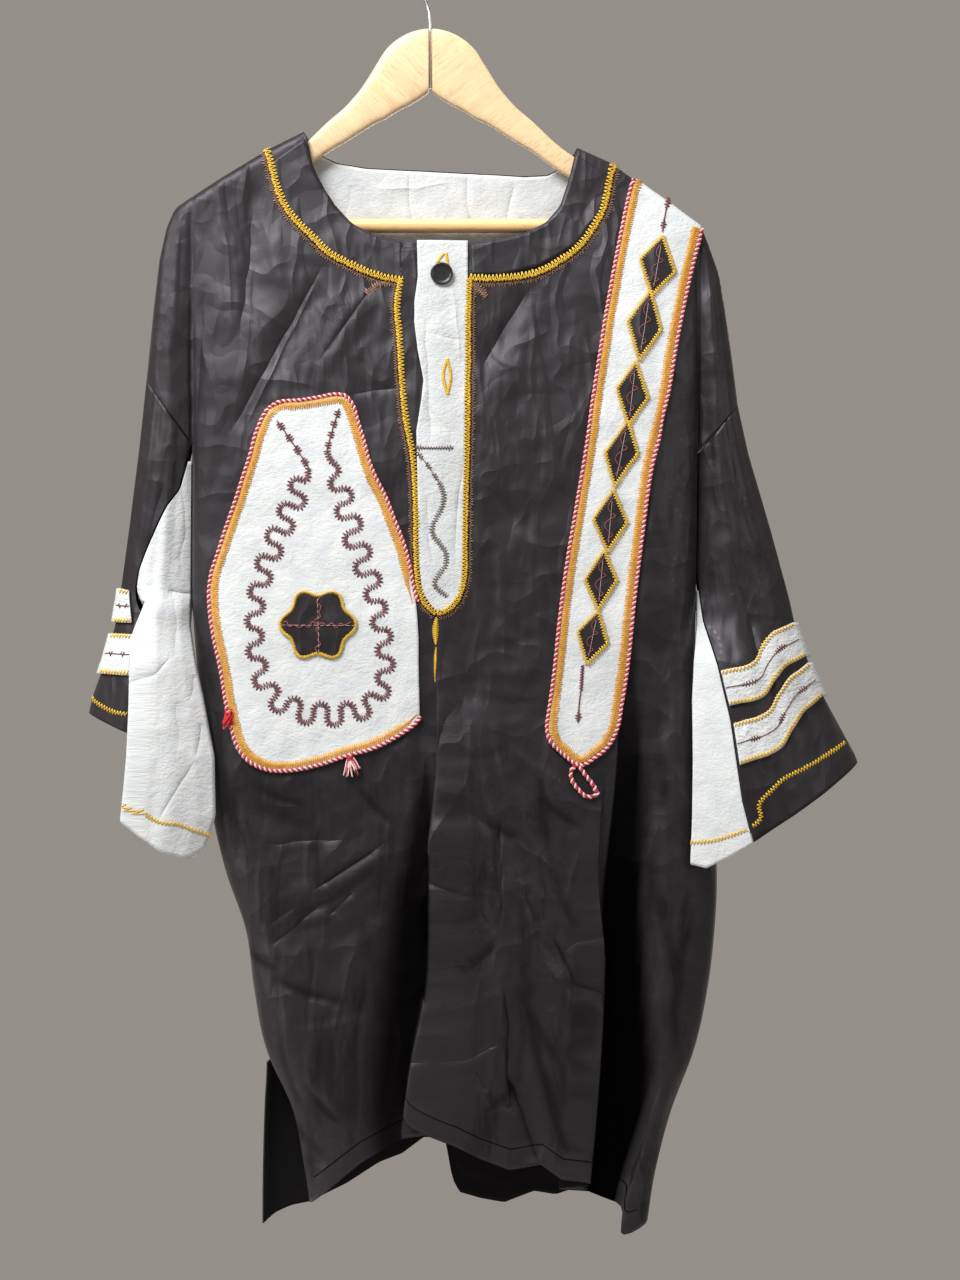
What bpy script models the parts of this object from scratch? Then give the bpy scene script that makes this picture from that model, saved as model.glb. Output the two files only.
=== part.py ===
"""Short black boubou tunic with white applique, hanging on a wooden clothes hanger.

Frame: X to the wearer's left as seen from the front, front towards -Y, Z up.
The origin is the inner top of the hanger's hook, where a rail carries it.
"""
import math

import bmesh
import bpy
import numpy as np

for item in list(bpy.data.objects):
    bpy.data.objects.remove(item, do_unlink=True)

mm = 0.001

# ---------------------------------------------------------------- driving sizes (mm)
cloth = 1.4                 # damask wall
trim = 1.2                  # applique and band walls
gap = 0.3                   # between pieces that lie on each other
seam = 0.5                  # half of the opening along a seam between two walls
shoulder_round = 9.0        # how far below the shoulder line the cloth is full depth
side_round = 45.0           # how far in from the side edge the cloth is full depth
fold_step = 5.5             # half the depth between the layers of a fold

# ---------------------------------------------------------------- tables (mm)
# shoulder line of both panels: x, z
shoulder_line = [
    (-242, -380), (-236, -320), (-231, -277), (-225, -250), (-218, -234), (-203, -224), (-180, -209),
    (-139, -184), (-107, -168), (125, -182), (152, -194), (179, -213), (203, -228), (229, -247),
    (236, -262), (246, -290), (251, -320), (256, -354), (262, -402),
]
# body sections by height: z, left edge, right edge, front depth, back depth, side seam depth
body_sections = [
    (-160, -203, 229, 10, 10, 9.0),
    (-225, -203, 229, 12, 12, 9.0),
    (-300, -203, 228, 20, 16, 9.0),
    (-380, -203, 228, 27, 19, 8.0),
    (-440, -202, 227, 31, 21, 7.0),
    (-500, -202, 225, 33, 23, 6.5),
    (-567, -200, 223, 35, 24, 6.0),
    (-590, -199.5, 223, 36, 25, seam),
    (-610, -199, 225, 36, 25, seam),
    (-650, -197, 230, 36, 25, seam),
    (-700, -193, 235, 37, 26, seam),
    (-750, -186, 240, 38, 26, seam),
    (-800, -174, 244, 38, 27, seam),
    (-850, -157, 242, 39, 27, seam),
    (-900, -150, 236, 40, 28, seam),
    (-950, -140, 225, 40, 28, seam),
    (-1000, -117, 205, 40, 28, 7.0),
    (-1050, -106, 191, 40, 29, 12.0),
    (-1110, -97, 181, 40, 29, 15.0),
]
# the back panel's own edges below the side slits: z, left edge, right edge
back_edges = [(-160, -203, 229), (-900, -150, 236), (-960, -140, 222), (-1000, -142, 201), (-1050, -144, 186),
              (-1110, -145, 171)]
# arm sections by height: z, outer fold, inner edge, front depth of the inner edge, front swell,
# back depth of the inner edge, back swell
arm_left = [
    (-224, -203, -203, 9, 0, 9, 0),
    (-234, -218, -203, 9, 0, 9, 0),
    (-250, -225, -203, 9, 1, 9, 1),
    (-277, -231, -203, 9, 3, 9, 4),
    (-320, -236, -203, 9, 6, 9, 7),
    (-380, -242, -203, 8, 9, 8, 11),
    (-436, -248, -203, 7, 11, 7, 16),
    (-500, -256, -203, 7, 13, 7, 24),
    (-567, -265, -203, 8, 14, 4, 32),
    (-590, -269, -203, 12, 14, -8, 35),
    (-620, -277, -197, 24, 13, -20, 39),
    (-650, -288, -190, 28, 13, -24, 42),
    (-700, -299, -180, 32, 12, -28, 46),
    (-750, -303, -179, 33, 11, -29, 48),
    (-790, -306, -193, 33, 10, -29, 48),
]
arm_right = [
    (-247, 229, 229, 9, 0, 9, 0),
    (-262, 236, 229, 9, 0, 9, 1),
    (-290, 246, 228, 9, 3, 9, 4),
    (-320, 251, 228, 9, 6, 9, 7),
    (-354, 256, 228, 9, 8, 9, 9),
    (-402, 262, 228, 8, 10, 8, 13),
    (-443, 271, 228, 7, 11, 7, 17),
    (-508, 290, 227, 7, 13, 7, 26),
    (-567, 306, 226, 8, 14, 4, 34),
    (-590, 311, 226, 12, 14, -8, 37),
    (-620, 322, 222, 25, 14, -21, 41),
    (-652, 336, 220, 30, 13, -26, 45),
    (-700, 362, 220, 36, 12, -32, 50),
    (-750, 380, 219, 40, 11, -36, 52),
    (-795, 388, 217, 42, 10, -38, 52),
]
# seam between black sleeve and white gusset, which lies in the fold of the sleeve:
# z, x of the fold edge, half width of the fold, strength
gusset_seam_left = [
    (-437, -206, 6, 0), (-455, -213, 6, 0), (-493, -227, 7, 0), (-531, -245, 8, 0), (-560, -249, 9, 0),
    (-600, -249, 10, 1), (-700, -251, 10, 1), (-760, -257, 10, 1),
]
gusset_seam_right = [
    (-545, 229, 4, 0), (-585, 234, 4, 0), (-623, 244, 4, 0), (-669, 254, 4, 0), (-707, 259, 4, 0),
    (-736, 263, 4, 0), (-772, 272, 4, 0),
]
# layered folds of the front: z, x of the fold edge, half width, strength
fold_centre = [
    (-300, 0, 13, 0), (-585, -8, 13, 0), (-620, -8, 13, 0.12), (-655, -7, 14, 0.28), (-695, -4, 15, 0.5),
    (-735, -2, 16, 0.75), (-780, -1, 17, 1), (-818, -1, 18, 1),
    (-902, -5, 20, 1), (-952, -15, 22, 1), (-1010, -23, 22, 1),
]
fold_valley = [
    (-300, 160, 9, 0), (-690, 158, 9, 0), (-735, 155, 10, 0.17), (-775, 151, 10, 0.36), (-820, 147, 11, 0.7),
    (-870, 147, 12, 1), (-985, 141, 12, 1),
    (-1060, 134, 12, 1),
]
fold_tail = [
    (-300, 200, 7, 0), (-900, 200, 7, 0), (-945, 195, 7, 0), (-985, 180, 7, 0.2), (-1025, 168, 8, 0.2),
    (-1100, 150, 9, 0.2),
]
front_folds = ((fold_centre, 1, 1), (fold_valley, -1, -1), (fold_tail, 1, 1))
# soft creases of the front: x top, z top, x foot, z foot, width, depth (ridge when negative)
front_creases = [
    (-148, -200, -150, -340, 12, 2.5),
    (-91, -290, -168, -440, 15, 2.5),
    (-41, -300, -95, -378, 9, -2.5),
    (84, -300, 38, -385, 10, 3.0),
    (196, -560, 170, -800, 20, 8.0),
    (172, -780, 164, -1120, 17, 9.0),
    (36, -610, 2, -785, 11, 3.0),
    (56, -740, 66, -960, 12, -4.0),
    (62, -900, 95, -1060, 11, 5.0),
    (97, -840, 145, -930, 12, 3.0),
    (-25, -775, -135, -842, 13, -3.5),
    (-71, -815, -110, -842, 9, 3.0),
]
back_creases = [
    (-120, -260, -60, -520, 22, -3.5),
    (130, -260, 90, -540, 22, -3.5),
    (-40, -480, -70, -1080, 20, 5.0),
    (60, -420, 95, -1090, 20, -6.0),
    (150, -600, 150, -1090, 22, 5.0),
    (-130, -640, -100, -1090, 18, -4.0),
]
# front hem: stretch of the panel (0 left edge, 1 to 2 centre fold, 3 to 4 valley fold, 5 to 6 tail
# fold, 7 right edge), z
front_hem = [
    (0, -1078), (0.33, -1056), (0.6, -1038), (1, -1018), (1.28, -1008), (1.5, -1000), (1.72, -996),
    (2, -1022), (2.22, -1033), (2.5, -1043), (2.8, -1040), (3, -1052), (3.28, -1056), (3.72, -1062),
    (5, -1074), (5.28, -1080), (5.72, -1101), (6, -1099), (7, -1093),
]
# back hem: share of the panel's width, z
back_hem = [
    (0.0, -1105), (0.03, -1098), (0.07, -1093), (0.125, -1090), (0.16, -1084), (0.22, -1074), (0.30, -1056),
    (0.36, -1048), (0.41, -1034), (0.465, -1034), (0.50, -1070), (0.524, -1082), (0.58, -1087), (0.65, -1091),
    (0.725, -1081), (0.785, -1084), (0.845, -1077), (0.91, -1070), (1.0, -1066),
]
# where the front's columns start on the shoulders and the neck: stretch as in the hem table, x
front_top = [
    (0, -203), (0.523, -107), (0.57, -102), (0.65, -91), (0.76, -66), (0.88, -40), (1, -17), (1.5, 8),
    (2, 35), (2.165, 48), (2.33, 64), (2.496, 82), (2.628, 98), (2.72, 110), (2.79, 118.5), (2.83, 123), (2.86, 125),
    (3, 136), (4, 153), (5, 196), (6, 208), (7, 228),
]
neck_stretch = (0.523, 2.86)        # the neck's own part of that table
# neck edges: x, z
front_neck = [
    (-107, -168), (-103, -184), (-99, -201), (-91, -217), (-80, -234), (-66, -249), (-45, -260), (-12, -265),
    (34, -265), (60, -262), (80, -257), (98, -248), (110, -234), (117, -213), (121, -198), (124, -187), (125, -182),
]
back_neck = [(-107, -168), (-105, -174), (-97, -184), (-80, -192), (-55, -196), (8, -199), (80, -203), (100, -202),
             (114, -195), (123, -187), (125, -182)]
# outer edge of the neckband: x, z from the shoulder to the placket
band_edge_left = [(-137, -190), (-130, -218), (-118, -244), (-101, -265), (-76, -283), (-50, -293), (-24, -298)]
band_edge_right = [(154, -203), (152, -218), (143, -244), (122, -269), (93, -286), (62, -294), (35, -294)]
# applique outlines by height: z, left x, right x
patch_outline = [
    (-399, -108, -66), (-404, -124, -61), (-412, -138, -58), (-426, -146, -53), (-455, -155, -41),
    (-485, -163, -29), (-510, -171, -21), (-535, -178, -15), (-560, -183, -11), (-602, -181, -9),
    (-635, -174, -9), (-655, -170, -9), (-668, -166, -10), (-680, -163, -20), (-690, -158, -46),
    (-700, -151, -71), (-707, -142, -92), (-711, -129, -113),
]
overlap_outline = [
    (-268, -11, 32), (-296, -10, 32), (-317, -13, 32), (-334, -13, 31), (-359, -10, 31), (-384, -5, 31),
    (-401, -7, 30), (-426, -11, 30), (-468, -10, 29), (-535, -9, 28), (-562, -6, 27), (-571, 0, 20),
    (-578, 6, 12),
]
strip_left = [(168, -219), (153, -283), (140, -359), (129, -434), (114, -535), (103, -635), (99, -675),
              (104, -690), (122, -706)]
strip_right = [(225, -256), (211, -325), (198, -400), (185, -459), (173, -552), (163, -636), (157, -675),
               (150, -688), (131, -703)]
# diamonds on the strip: x centre, z centre, half width, half height, slant of the long axis, tilt of the short axis
diamonds = [
    (191.9, -286.3, 14.4, 23.2, 4.2, 5.5), (180.8, -337.3, 12.6, 24.8, 4.2, 3.4), (170, -395.3, 13, 24.4, 2.9, 4.2),
    (160.7, -445.8, 13.8, 25.1, 5, 0.4), (151.3, -502.3, 14.2, 23.4, 2.1, 1.7), (143.4, -551.9, 13.4, 22.6, 2.1, 0.4),
    (136.4, -599.8, 12.5, 20, 4.2, 5),
]
# hanger arm sections: distance from the centre, top z, foot z, half thickness
arm_wood = [
    (0.2, -80, -134, 6.5), (12, -81.5, -141, 6.5), (25, -87, -148, 6.4), (38, -98, -156, 6.2),
    (47, -112, -160, 6.0), (57, -128, -166, 5.8), (71, -145, -175, 5.6), (88, -160, -185, 5.4),
    (107, -178, -199, 5.2), (140, -200, -219, 5.2), (180, -220, -241, 5.3), (200, -232, -256, 5.3),
    (208, -238, -258, 4.6), (212, -244, -254, 2.6),
]
bar_height = -248.0
bar_radius = 6.0
bar_half_length = 192.0
wire_radius = 1.6
hook_radius = 22.0          # inner radius of the hook's bow


# ---------------------------------------------------------------- smooth lookups
def look_up(table, column, at):
    """Smooth value of a table's column at a value of its first column (cubic through the rows)."""
    rows = np.array(sorted(table), dtype=float)
    key, value = rows[:, 0], rows[:, column]
    slope = np.gradient(value, key)
    at = np.clip(at, key[0], key[-1])
    i = np.clip(np.searchsorted(key, at) - 1, 0, len(key) - 2)
    step = key[i + 1] - key[i]
    s = (at - key[i]) / step
    start = (1 + 2 * s) * (1 - s) ** 2 * value[i] + s * (1 - s) ** 2 * step * slope[i]
    end = s * s * (3 - 2 * s) * value[i + 1] + s * s * (s - 1) * step * slope[i + 1]
    return start + end


def line_up(table, column, at):
    """Straight-line value of a table's column at a value of its first column."""
    rows = np.array(sorted(table), dtype=float)
    return np.interp(at, rows[:, 0], rows[:, column])


def path(points, at):
    """Points along an open outline at fractions 0..1 of its length."""
    points = np.array(points, dtype=float)
    run = np.concatenate([[0], np.cumsum(np.hypot(*np.diff(points, axis=0).T))])
    return np.interp(at, run / run[-1], points[:, 0]), np.interp(at, run / run[-1], points[:, 1])


def ease(t):
    t = np.clip(t, 0, 1)
    return t * t * (3 - 2 * t)


def rounding(t):
    """Quarter circle: 0 at an edge, 1 at full depth."""
    t = np.clip(t, 0, 1)
    return np.sqrt(1 - (1 - t) ** 2)


# ---------------------------------------------------------------- surfaces (mm)
def crease_depth(creases, x, z):
    """Sum of the soft creases at a place: each a rounded trough or ridge that fades at both ends."""
    total = np.zeros(np.broadcast(x, z).shape)
    for x_top, z_top, x_foot, z_foot, width, depth in creases:
        run = np.hypot(x_foot - x_top, z_foot - z_top)
        along_x, along_z = (x_foot - x_top) / run, (z_foot - z_top) / run
        s = ((x - x_top) * along_x + (z - z_top) * along_z) / run
        off = (x - x_top) * along_z - (z - z_top) * along_x
        total = total + depth * np.exp(-(off / width) ** 2) * ease(4 * s) * ease(4 * (1 - s))
    return total


def body_depth(x, z, side):
    """Distance of a body panel from the middle plane; side is 1 for the front and 2 for the back."""
    full = look_up(body_sections, 2 + side, z)
    at_seam = line_up(body_sections, 5, z)
    left = look_up(body_sections, 1, z)
    right = look_up(body_sections, 2, z)
    if side == 2:
        left = np.where(z < -960, look_up(back_edges, 1, z), left)
        right = np.where(z < -960, look_up(back_edges, 2, z), right)
    inward = np.minimum(x - left, right - x)
    below = line_up(shoulder_line, 1, x) - z
    depth = at_seam + (full - at_seam) * rounding(inward / side_round)
    depth = seam + (depth - seam) * rounding(below / shoulder_round)
    creases = front_creases if side == 1 else back_creases
    return depth - crease_depth(creases, x, z) * ease(inward / 30) * ease(below / 40)


def fold(across, z, table, top_side, kept):
    """A layered fold: sideways shift and step in depth of a place across the panel.

    The cloth doubles back on itself where the shift beats the run of the cloth. top_side is 1 when
    the layer on the right lies in front, and -1 when the left one does. kept is 1 when the layer
    below keeps its depth and the top one stands forward, and -1 when the top one keeps it.
    """
    edge, half, strength = (look_up(table, column, z) for column in (1, 2, 3))
    strength = np.clip(strength, 0, 1)
    centre = edge + top_side * 1.03 * half
    t = (across - centre) / half
    inside = np.clip(t, -1, 1)
    shift = -half * 1.5 * strength * np.sin(np.pi * inside)
    fade = np.exp(-(np.abs(t) - np.abs(inside)) * half / 45)
    step = fold_step * ease(2.2 * strength) * (top_side * np.sin(np.pi * inside / 2) + kept) * fade
    return shift, step


def front_surface(x, z):
    """The front panel's middle surface at flat places x, z."""
    x, z = np.broadcast_arrays(x, z)
    shift, step = np.zeros(x.shape), np.zeros(x.shape)
    for table, top_side, kept in front_folds:
        one_shift, one_step = fold(x, z, table, top_side, kept)
        shift, step = shift + one_shift, step + one_step
    left, right = look_up(body_sections, 1, z), look_up(body_sections, 2, z)
    edge_fade = ease(np.minimum(x - left, right - x) / 14)
    return np.stack([x + shift, -(body_depth(x, z, 1) + step * edge_fade), z], axis=-1)


def back_surface(x, z):
    x, z = np.broadcast_arrays(x, z)
    return np.stack([x, body_depth(x, z, 2), z], axis=-1)


def arm_surface(table, place, z, side):
    """The shoulder cap and the sleeve: place is 0 at the outer fold and 1 at the inner edge."""
    place, z = np.broadcast_arrays(place, z)
    outer, inner = line_up(table, 1, z), line_up(table, 2, z)
    if side == 1:
        depth = seam + (look_up(table, 3, z) - seam) * rounding(place)
        depth = depth + look_up(table, 4, z) * np.sin(np.pi * place)
    else:
        depth = seam + (look_up(table, 5, z) - seam) * ease(place)
        depth = depth + look_up(table, 6, z) * 6.75 * place * (1 - place) ** 2
    below = (table[0][0] - z) / shoulder_round
    depth = seam + (depth - seam) * np.where(z > -300, rounding(below), 1)
    y = -depth if side == 1 else depth
    return np.stack([outer + (inner - outer) * place, y, z], axis=-1)


def lifted(surface, a, b, lift):
    """Points of a surface moved out along its normal; lift is positive away from the cloth."""
    a, b = np.broadcast_arrays(np.asarray(a, float), np.asarray(b, float))
    step = 0.002 if np.abs(a).max() <= 1.5 else 1.0
    over_a = surface(a + step, b) - surface(a - step, b)
    over_b = surface(a, b + 1.0) - surface(a, b - 1.0)
    normal = np.cross(over_a, over_b)
    normal /= np.linalg.norm(normal, axis=-1, keepdims=True) + 1e-9
    return surface(a, b) + normal * np.asarray(lift)[..., None]


# ---------------------------------------------------------------- meshes
def material(name, colour, roughness, metallic=0.0):
    made = bpy.data.materials.new(name)
    made.use_nodes = True
    shader = made.node_tree.nodes["Principled BSDF"]
    shader.inputs["Base Color"].default_value = (*colour, 1.0)
    shader.inputs["Roughness"].default_value = roughness
    shader.inputs["Metallic"].default_value = metallic
    made.diffuse_color = (*colour, 1.0)
    return made


def add_object(name, mesh, colour, roughness, metallic=0.0, smooth=True):
    mesh.materials.append(material(name + "_finish", colour, roughness, metallic))
    if smooth:
        mesh.shade_smooth()
        mesh.set_sharp_from_angle(angle=math.radians(50))
    made = bpy.data.objects.new(name, mesh)
    bpy.context.scene.collection.objects.link(made)
    return made


def sheet_mesh(name, blocks):
    """One mesh from grids of points in mm; grids that share border points are joined there."""
    shape = bmesh.new()
    for block in blocks:
        rows, columns = block.shape[:2]
        points = [shape.verts.new(point * mm) for point in block.reshape(-1, 3)]
        for i in range(rows - 1):
            for j in range(columns - 1):
                corner = i * columns + j
                shape.faces.new([points[corner], points[corner + 1],
                                 points[corner + columns + 1], points[corner + columns]])
    bmesh.ops.remove_doubles(shape, verts=shape.verts, dist=0.02 * mm)
    bmesh.ops.recalc_face_normals(shape, faces=shape.faces)
    mesh = bpy.data.meshes.new(name)
    shape.to_mesh(mesh)
    shape.free()
    return mesh


def cloth_wall(name, blocks, thickness, colour, roughness=0.6):
    made = add_object(name, sheet_mesh(name, blocks), colour, roughness)
    halves = made.modifiers.new("halves", "TRIANGULATE")
    halves.quad_method = "SHORTEST_DIAGONAL"
    wall = made.modifiers.new("wall", "SOLIDIFY")
    wall.thickness = thickness * mm
    wall.offset = 0.0
    wall.use_even_offset = False
    wall.use_rim = True
    return made


black = (0.012, 0.011, 0.013)
white = (0.78, 0.77, 0.74)
red = (0.45, 0.03, 0.04)


# ---------------------------------------------------------------- body panels
low_rows = 15
edge_drops = (0, 1.2, 4.5, 11)                          # first rows below the shoulder or neck edge (mm)
upper_shares = (0.12, 0.28, 0.46, 0.64, 0.82, 1)        # rows from there to the foot of the armhole seam
top_rows = len(edge_drops) + len(upper_shares) - 1


fold_turns = (                                          # columns through each fold, in half widths
    (-1, -0.75, -0.53, -0.33, 0, 0.33, 0.53, 0.75, 1),
    (-1, -0.75, -0.53, -0.33, 0, 0.33, 0.53, 0.75, 1),
    (-1, -0.4, 0.4, 1),
)
plain_columns = (                                       # columns of the plain stretches between the folds
    (0, 0.06, 0.136, 0.226, 0.32, 0.422, 0.523, 0.57, 0.65, 0.76, 0.88, 1),
    (0, 0.165, 0.33, 0.496, 0.628, 0.72, 0.79, 0.83, 0.86, 1),
    (0, 0.5, 1),
    (0, 0.5, 1),
)


def front_stretches():
    """Each front column's place: whole numbers are the borders of the folds, as in the hem table."""
    places = []
    for index, shares in enumerate(plain_columns):
        places += [2 * index + share for share in shares]
        if index < 3:
            places += [2 * index + 1 + (turn + 1) / 2 for turn in fold_turns[index][1:-1]]
    return np.array(places)


def across_low(z, side):
    """Flat places of the panel's columns at a height, closer together in folds and at edges."""
    left, right = look_up(body_sections, 1, z), look_up(body_sections, 2, z)
    if side == 2:
        left = np.where(z < -960, look_up(back_edges, 1, z), left)
        right = np.where(z < -960, look_up(back_edges, 2, z), right)
        return left + (right - left) * ease_ends(np.linspace(0, 1, 25))
    stops = [left]
    for table, top_side, _ in front_folds:
        edge, half = look_up(table, 1, z), look_up(table, 2, z)
        centre = edge + top_side * 1.03 * half
        stops += [centre - half, centre + half]
    stops.append(right)
    return np.interp(front_stretches(), np.arange(8), np.array(stops, dtype=float))


def ease_ends(t):
    """Evenly spread fractions drawn a little towards both ends."""
    return 0.55 * t + 0.45 * (1 - np.cos(np.pi * t)) / 2


def panel_grid(side):
    """Flat places x, z of a body panel, top row on the shoulders and neck, last row at the hem."""
    low = across_low(-420.0, side)
    count = len(low)
    if side == 1:
        stretch = front_stretches()
        top_x = line_up(front_top, 1, stretch)
        neck, in_neck = front_neck, (stretch >= neck_stretch[0]) & (stretch <= neck_stretch[1])
    else:
        starts = int(np.searchsorted(low, -100)), int(np.searchsorted(low, 120))
        top_x = np.interp(np.arange(count), starts, (-107, 125))
        top_x[:starts[0] + 1] = np.linspace(low[0], -107, starts[0] + 1)
        top_x[starts[1]:] = np.linspace(125, low[-1], count - starts[1])
        at = ease_ends(np.linspace(0, 1, starts[1] - starts[0] + 1))
        top_x[starts[0]:starts[1] + 1] = path(back_neck, at)[0]
        neck, in_neck = back_neck, (top_x >= -107) & (top_x <= 125)
    top_z = np.where(in_neck, line_up(neck, 1, top_x), line_up(shoulder_line, 1, top_x))
    hem = front_hem if side == 1 else back_hem
    share = np.linspace(0, 1, count)
    middle_z = -436.0 + share * -7.0
    foot_z = line_up(hem, 1, stretch if side == 1 else share)
    rows_x, rows_z = [], []
    at_corner = (np.abs(top_x + 107) < 1) | (np.abs(top_x - 125) < 3)
    drop_scale = np.where(at_corner, 2.2, np.where(in_neck, 4.0, 1.0))
    heights = [top_z - drop * drop_scale for drop in edge_drops]
    heights += [heights[-1] + (middle_z - heights[-1]) * share for share in upper_shares]
    heights += [middle_z + (foot_z - middle_z) * row / low_rows for row in range(1, low_rows + 1)]
    for z in heights:
        settled = np.array([across_low(height, side)[j] for j, height in enumerate(z)])
        blend = ease(np.mean(top_z - z) / 150)
        rows_x.append(top_x + (settled - top_x) * blend)
        rows_z.append(z)
    return np.array(rows_x), np.array(rows_z)


def cap_grid(table, groove_x, groove_z, seam_z, side):
    """The part of a panel beyond the hanger's end, from the groove out to the fold over the arm."""
    down = (groove_z - groove_z[0]) / (groove_z[-1] - groove_z[0])
    edge_z = table[0][0] + (seam_z - table[0][0]) * down ** 0.6
    edge_x = line_up(table, 1, edge_z)
    share = np.array([0, 0.08, 0.25, 0.5, 0.75, 1.0])[None, :]
    x = edge_x[:, None] + (groove_x[:, None] - edge_x[:, None]) * share
    z = edge_z[:, None] + (groove_z[:, None] - edge_z[:, None]) * share
    outer, inner = line_up(table, 1, z), line_up(table, 2, z)
    place = np.clip((x - outer) / np.where(np.abs(inner - outer) < 0.1, 0.1, inner - outer), 0, 1)
    place[:, -1] = 1.0
    points = arm_surface(table, place, z, side)
    points[..., 0] = x
    return points


def body_panel(name, surface, side):
    x, z = panel_grid(side)
    body = surface(x, z)
    caps = []
    for table, column, seam_z in ((arm_left, 0, -380.0), (arm_right, -1, -402.0)):
        cap = cap_grid(table, x[:top_rows + 1, column], z[:top_rows + 1, column], seam_z, side)
        cap[:, -1] = body[:top_rows + 1, column]
        cap[0] = body[0, column]
        caps.append(cap)
    return cloth_wall(name, [body] + caps, cloth, black)


body_panel("front_panel", front_surface, 1)
body_panel("back_panel", back_surface, 2)


# ---------------------------------------------------------------- pieces sewn on the front
on_cloth = cloth / 2 + 2 * gap + trim / 2      # lift of a trim piece lying on the cloth
on_trim = on_cloth + trim + gap                # lift of a second layer


def sewn(name, x, z, lift, colour, thickness=trim):
    return cloth_wall(name, [lifted(front_surface, x, z, lift)], thickness, colour)


def between(outer, inner, steps):
    """Places between two outlines of equal run: a row for each step from outer to inner."""
    share = np.linspace(0, 1, steps + 1)[:, None]
    return outer[0] + (inner[0] - outer[0]) * share, outer[1] + (inner[1] - outer[1]) * share


def by_height(outline, heights, columns, bunch=1.0):
    """Places inside an outline given by its left and right x at each height."""
    left, right = line_up(outline, 1, heights), line_up(outline, 2, heights)
    share = np.linspace(0, 1, columns + 1)[None, :] ** bunch
    return left[:, None] + (right - left)[:, None] * share, np.repeat(heights[:, None], columns + 1, 1)


def neckbands():
    at = np.linspace(0.02, 1, 15)
    left_neck = [point for point in front_neck if point[0] < -30]
    right_neck = [point for point in reversed(front_neck) if point[0] > 32]
    for name, edge, neck, foot in (("neckband_left", band_edge_left, left_neck, (-24, -265)),
                                   ("neckband_right", band_edge_right, right_neck, (35, -266))):
        start = (neck[0][0], neck[0][1] - 5)
        inner = path([start] + [point for point in neck[1:] if abs(point[0] - foot[0]) > 6] + [foot], at)
        start = (edge[0][0], edge[0][1] - 4)
        outer = path([start] + edge[1:], at)
        x, z = between(outer, (inner[0], inner[1] - 1.0), 3)
        sewn(name, x, z, on_cloth, black)


def placket():
    heights = np.linspace(-270, -446, 12)
    left = line_up(overlap_outline, 1, heights)
    x = (left - 11)[:, None] + np.linspace(0, 18, 3)[None, :]
    sewn("placket_underlap", x, np.repeat(heights[:, None], 3, 1), on_cloth, black)
    heights = np.concatenate([np.linspace(-268, -450, 12), np.linspace(-470, -562, 5), [-571, -578]])
    x, z = by_height(overlap_outline, heights, 4)
    over_edge = np.array([1, 1, 0.85, 0.2, 0])[None, :]
    fade = ease((heights + 500) / 50)[:, None]
    lift = on_cloth + (on_trim - on_cloth + 0.2) * over_edge * fade
    sewn("placket_overlap", x, z, lift, white)


def chest_patch():
    heights = np.array([row[0] for row in patch_outline], dtype=float)
    heights = np.interp(np.linspace(0, len(heights) - 1, 22), np.arange(len(heights)), heights)
    x, z = by_height(patch_outline, heights, 11, 1.5)
    sewn("chest_patch", x, z, on_cloth, white)
    turn = np.linspace(0, 2 * np.pi, 37)
    reach = 28 * (1 + 0.11 * np.cos(6 * turn) + 0.03 * np.cos(2 * turn))
    ring = np.linspace(0.2, 1, 3)[:, None]
    x = -93 + ring * reach * np.cos(turn)
    z = -589 + ring * reach * np.sin(turn)
    hub = np.ones((1, len(turn)))
    sewn("patch_flower", np.vstack([-93 * hub, x]), np.vstack([-589 * hub, z]), on_trim, black)


def shoulder_strip():
    at = np.linspace(0, 1, 26)
    left, right = path(strip_left, at), path(strip_right, at)
    x, z = between(left, right, 5)
    sewn("shoulder_strip", x, z, on_cloth, white)
    for number, (x0, z0, half_width, half_height, slant, tilt) in enumerate(diamonds, 1):
        s = np.linspace(-1, 1, 4)
        a, b = np.meshgrid(s, s)
        across, up = (a - b) / 2, (a + b) / 2
        x = x0 + across * half_width + up * slant
        z = z0 + up * half_height - across * tilt
        sewn("strip_diamond_%d" % number, x, z, on_trim, black)


neckbands()
placket()
chest_patch()
shoulder_strip()


def back_facing():
    at = np.linspace(0.06, 0.94, 15)
    neck_x, neck_z = path(back_neck, at)
    deep = 84 * np.sin(np.pi * at) ** 0.35
    share = np.linspace(0, 1, 6)[:, None]
    x = neck_x + (8 - neck_x) * 0.10 * share
    z = neck_z - 2.0 - deep * share
    cloth_wall("back_neck_facing", [lifted(back_surface, x, z, on_cloth)], trim, white)


back_facing()


# ---------------------------------------------------------------- sleeves, gussets and bands
sleeve_rows = 12
seam_at = 0.6               # seam from the fold's edge, in half widths of the fold


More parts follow.
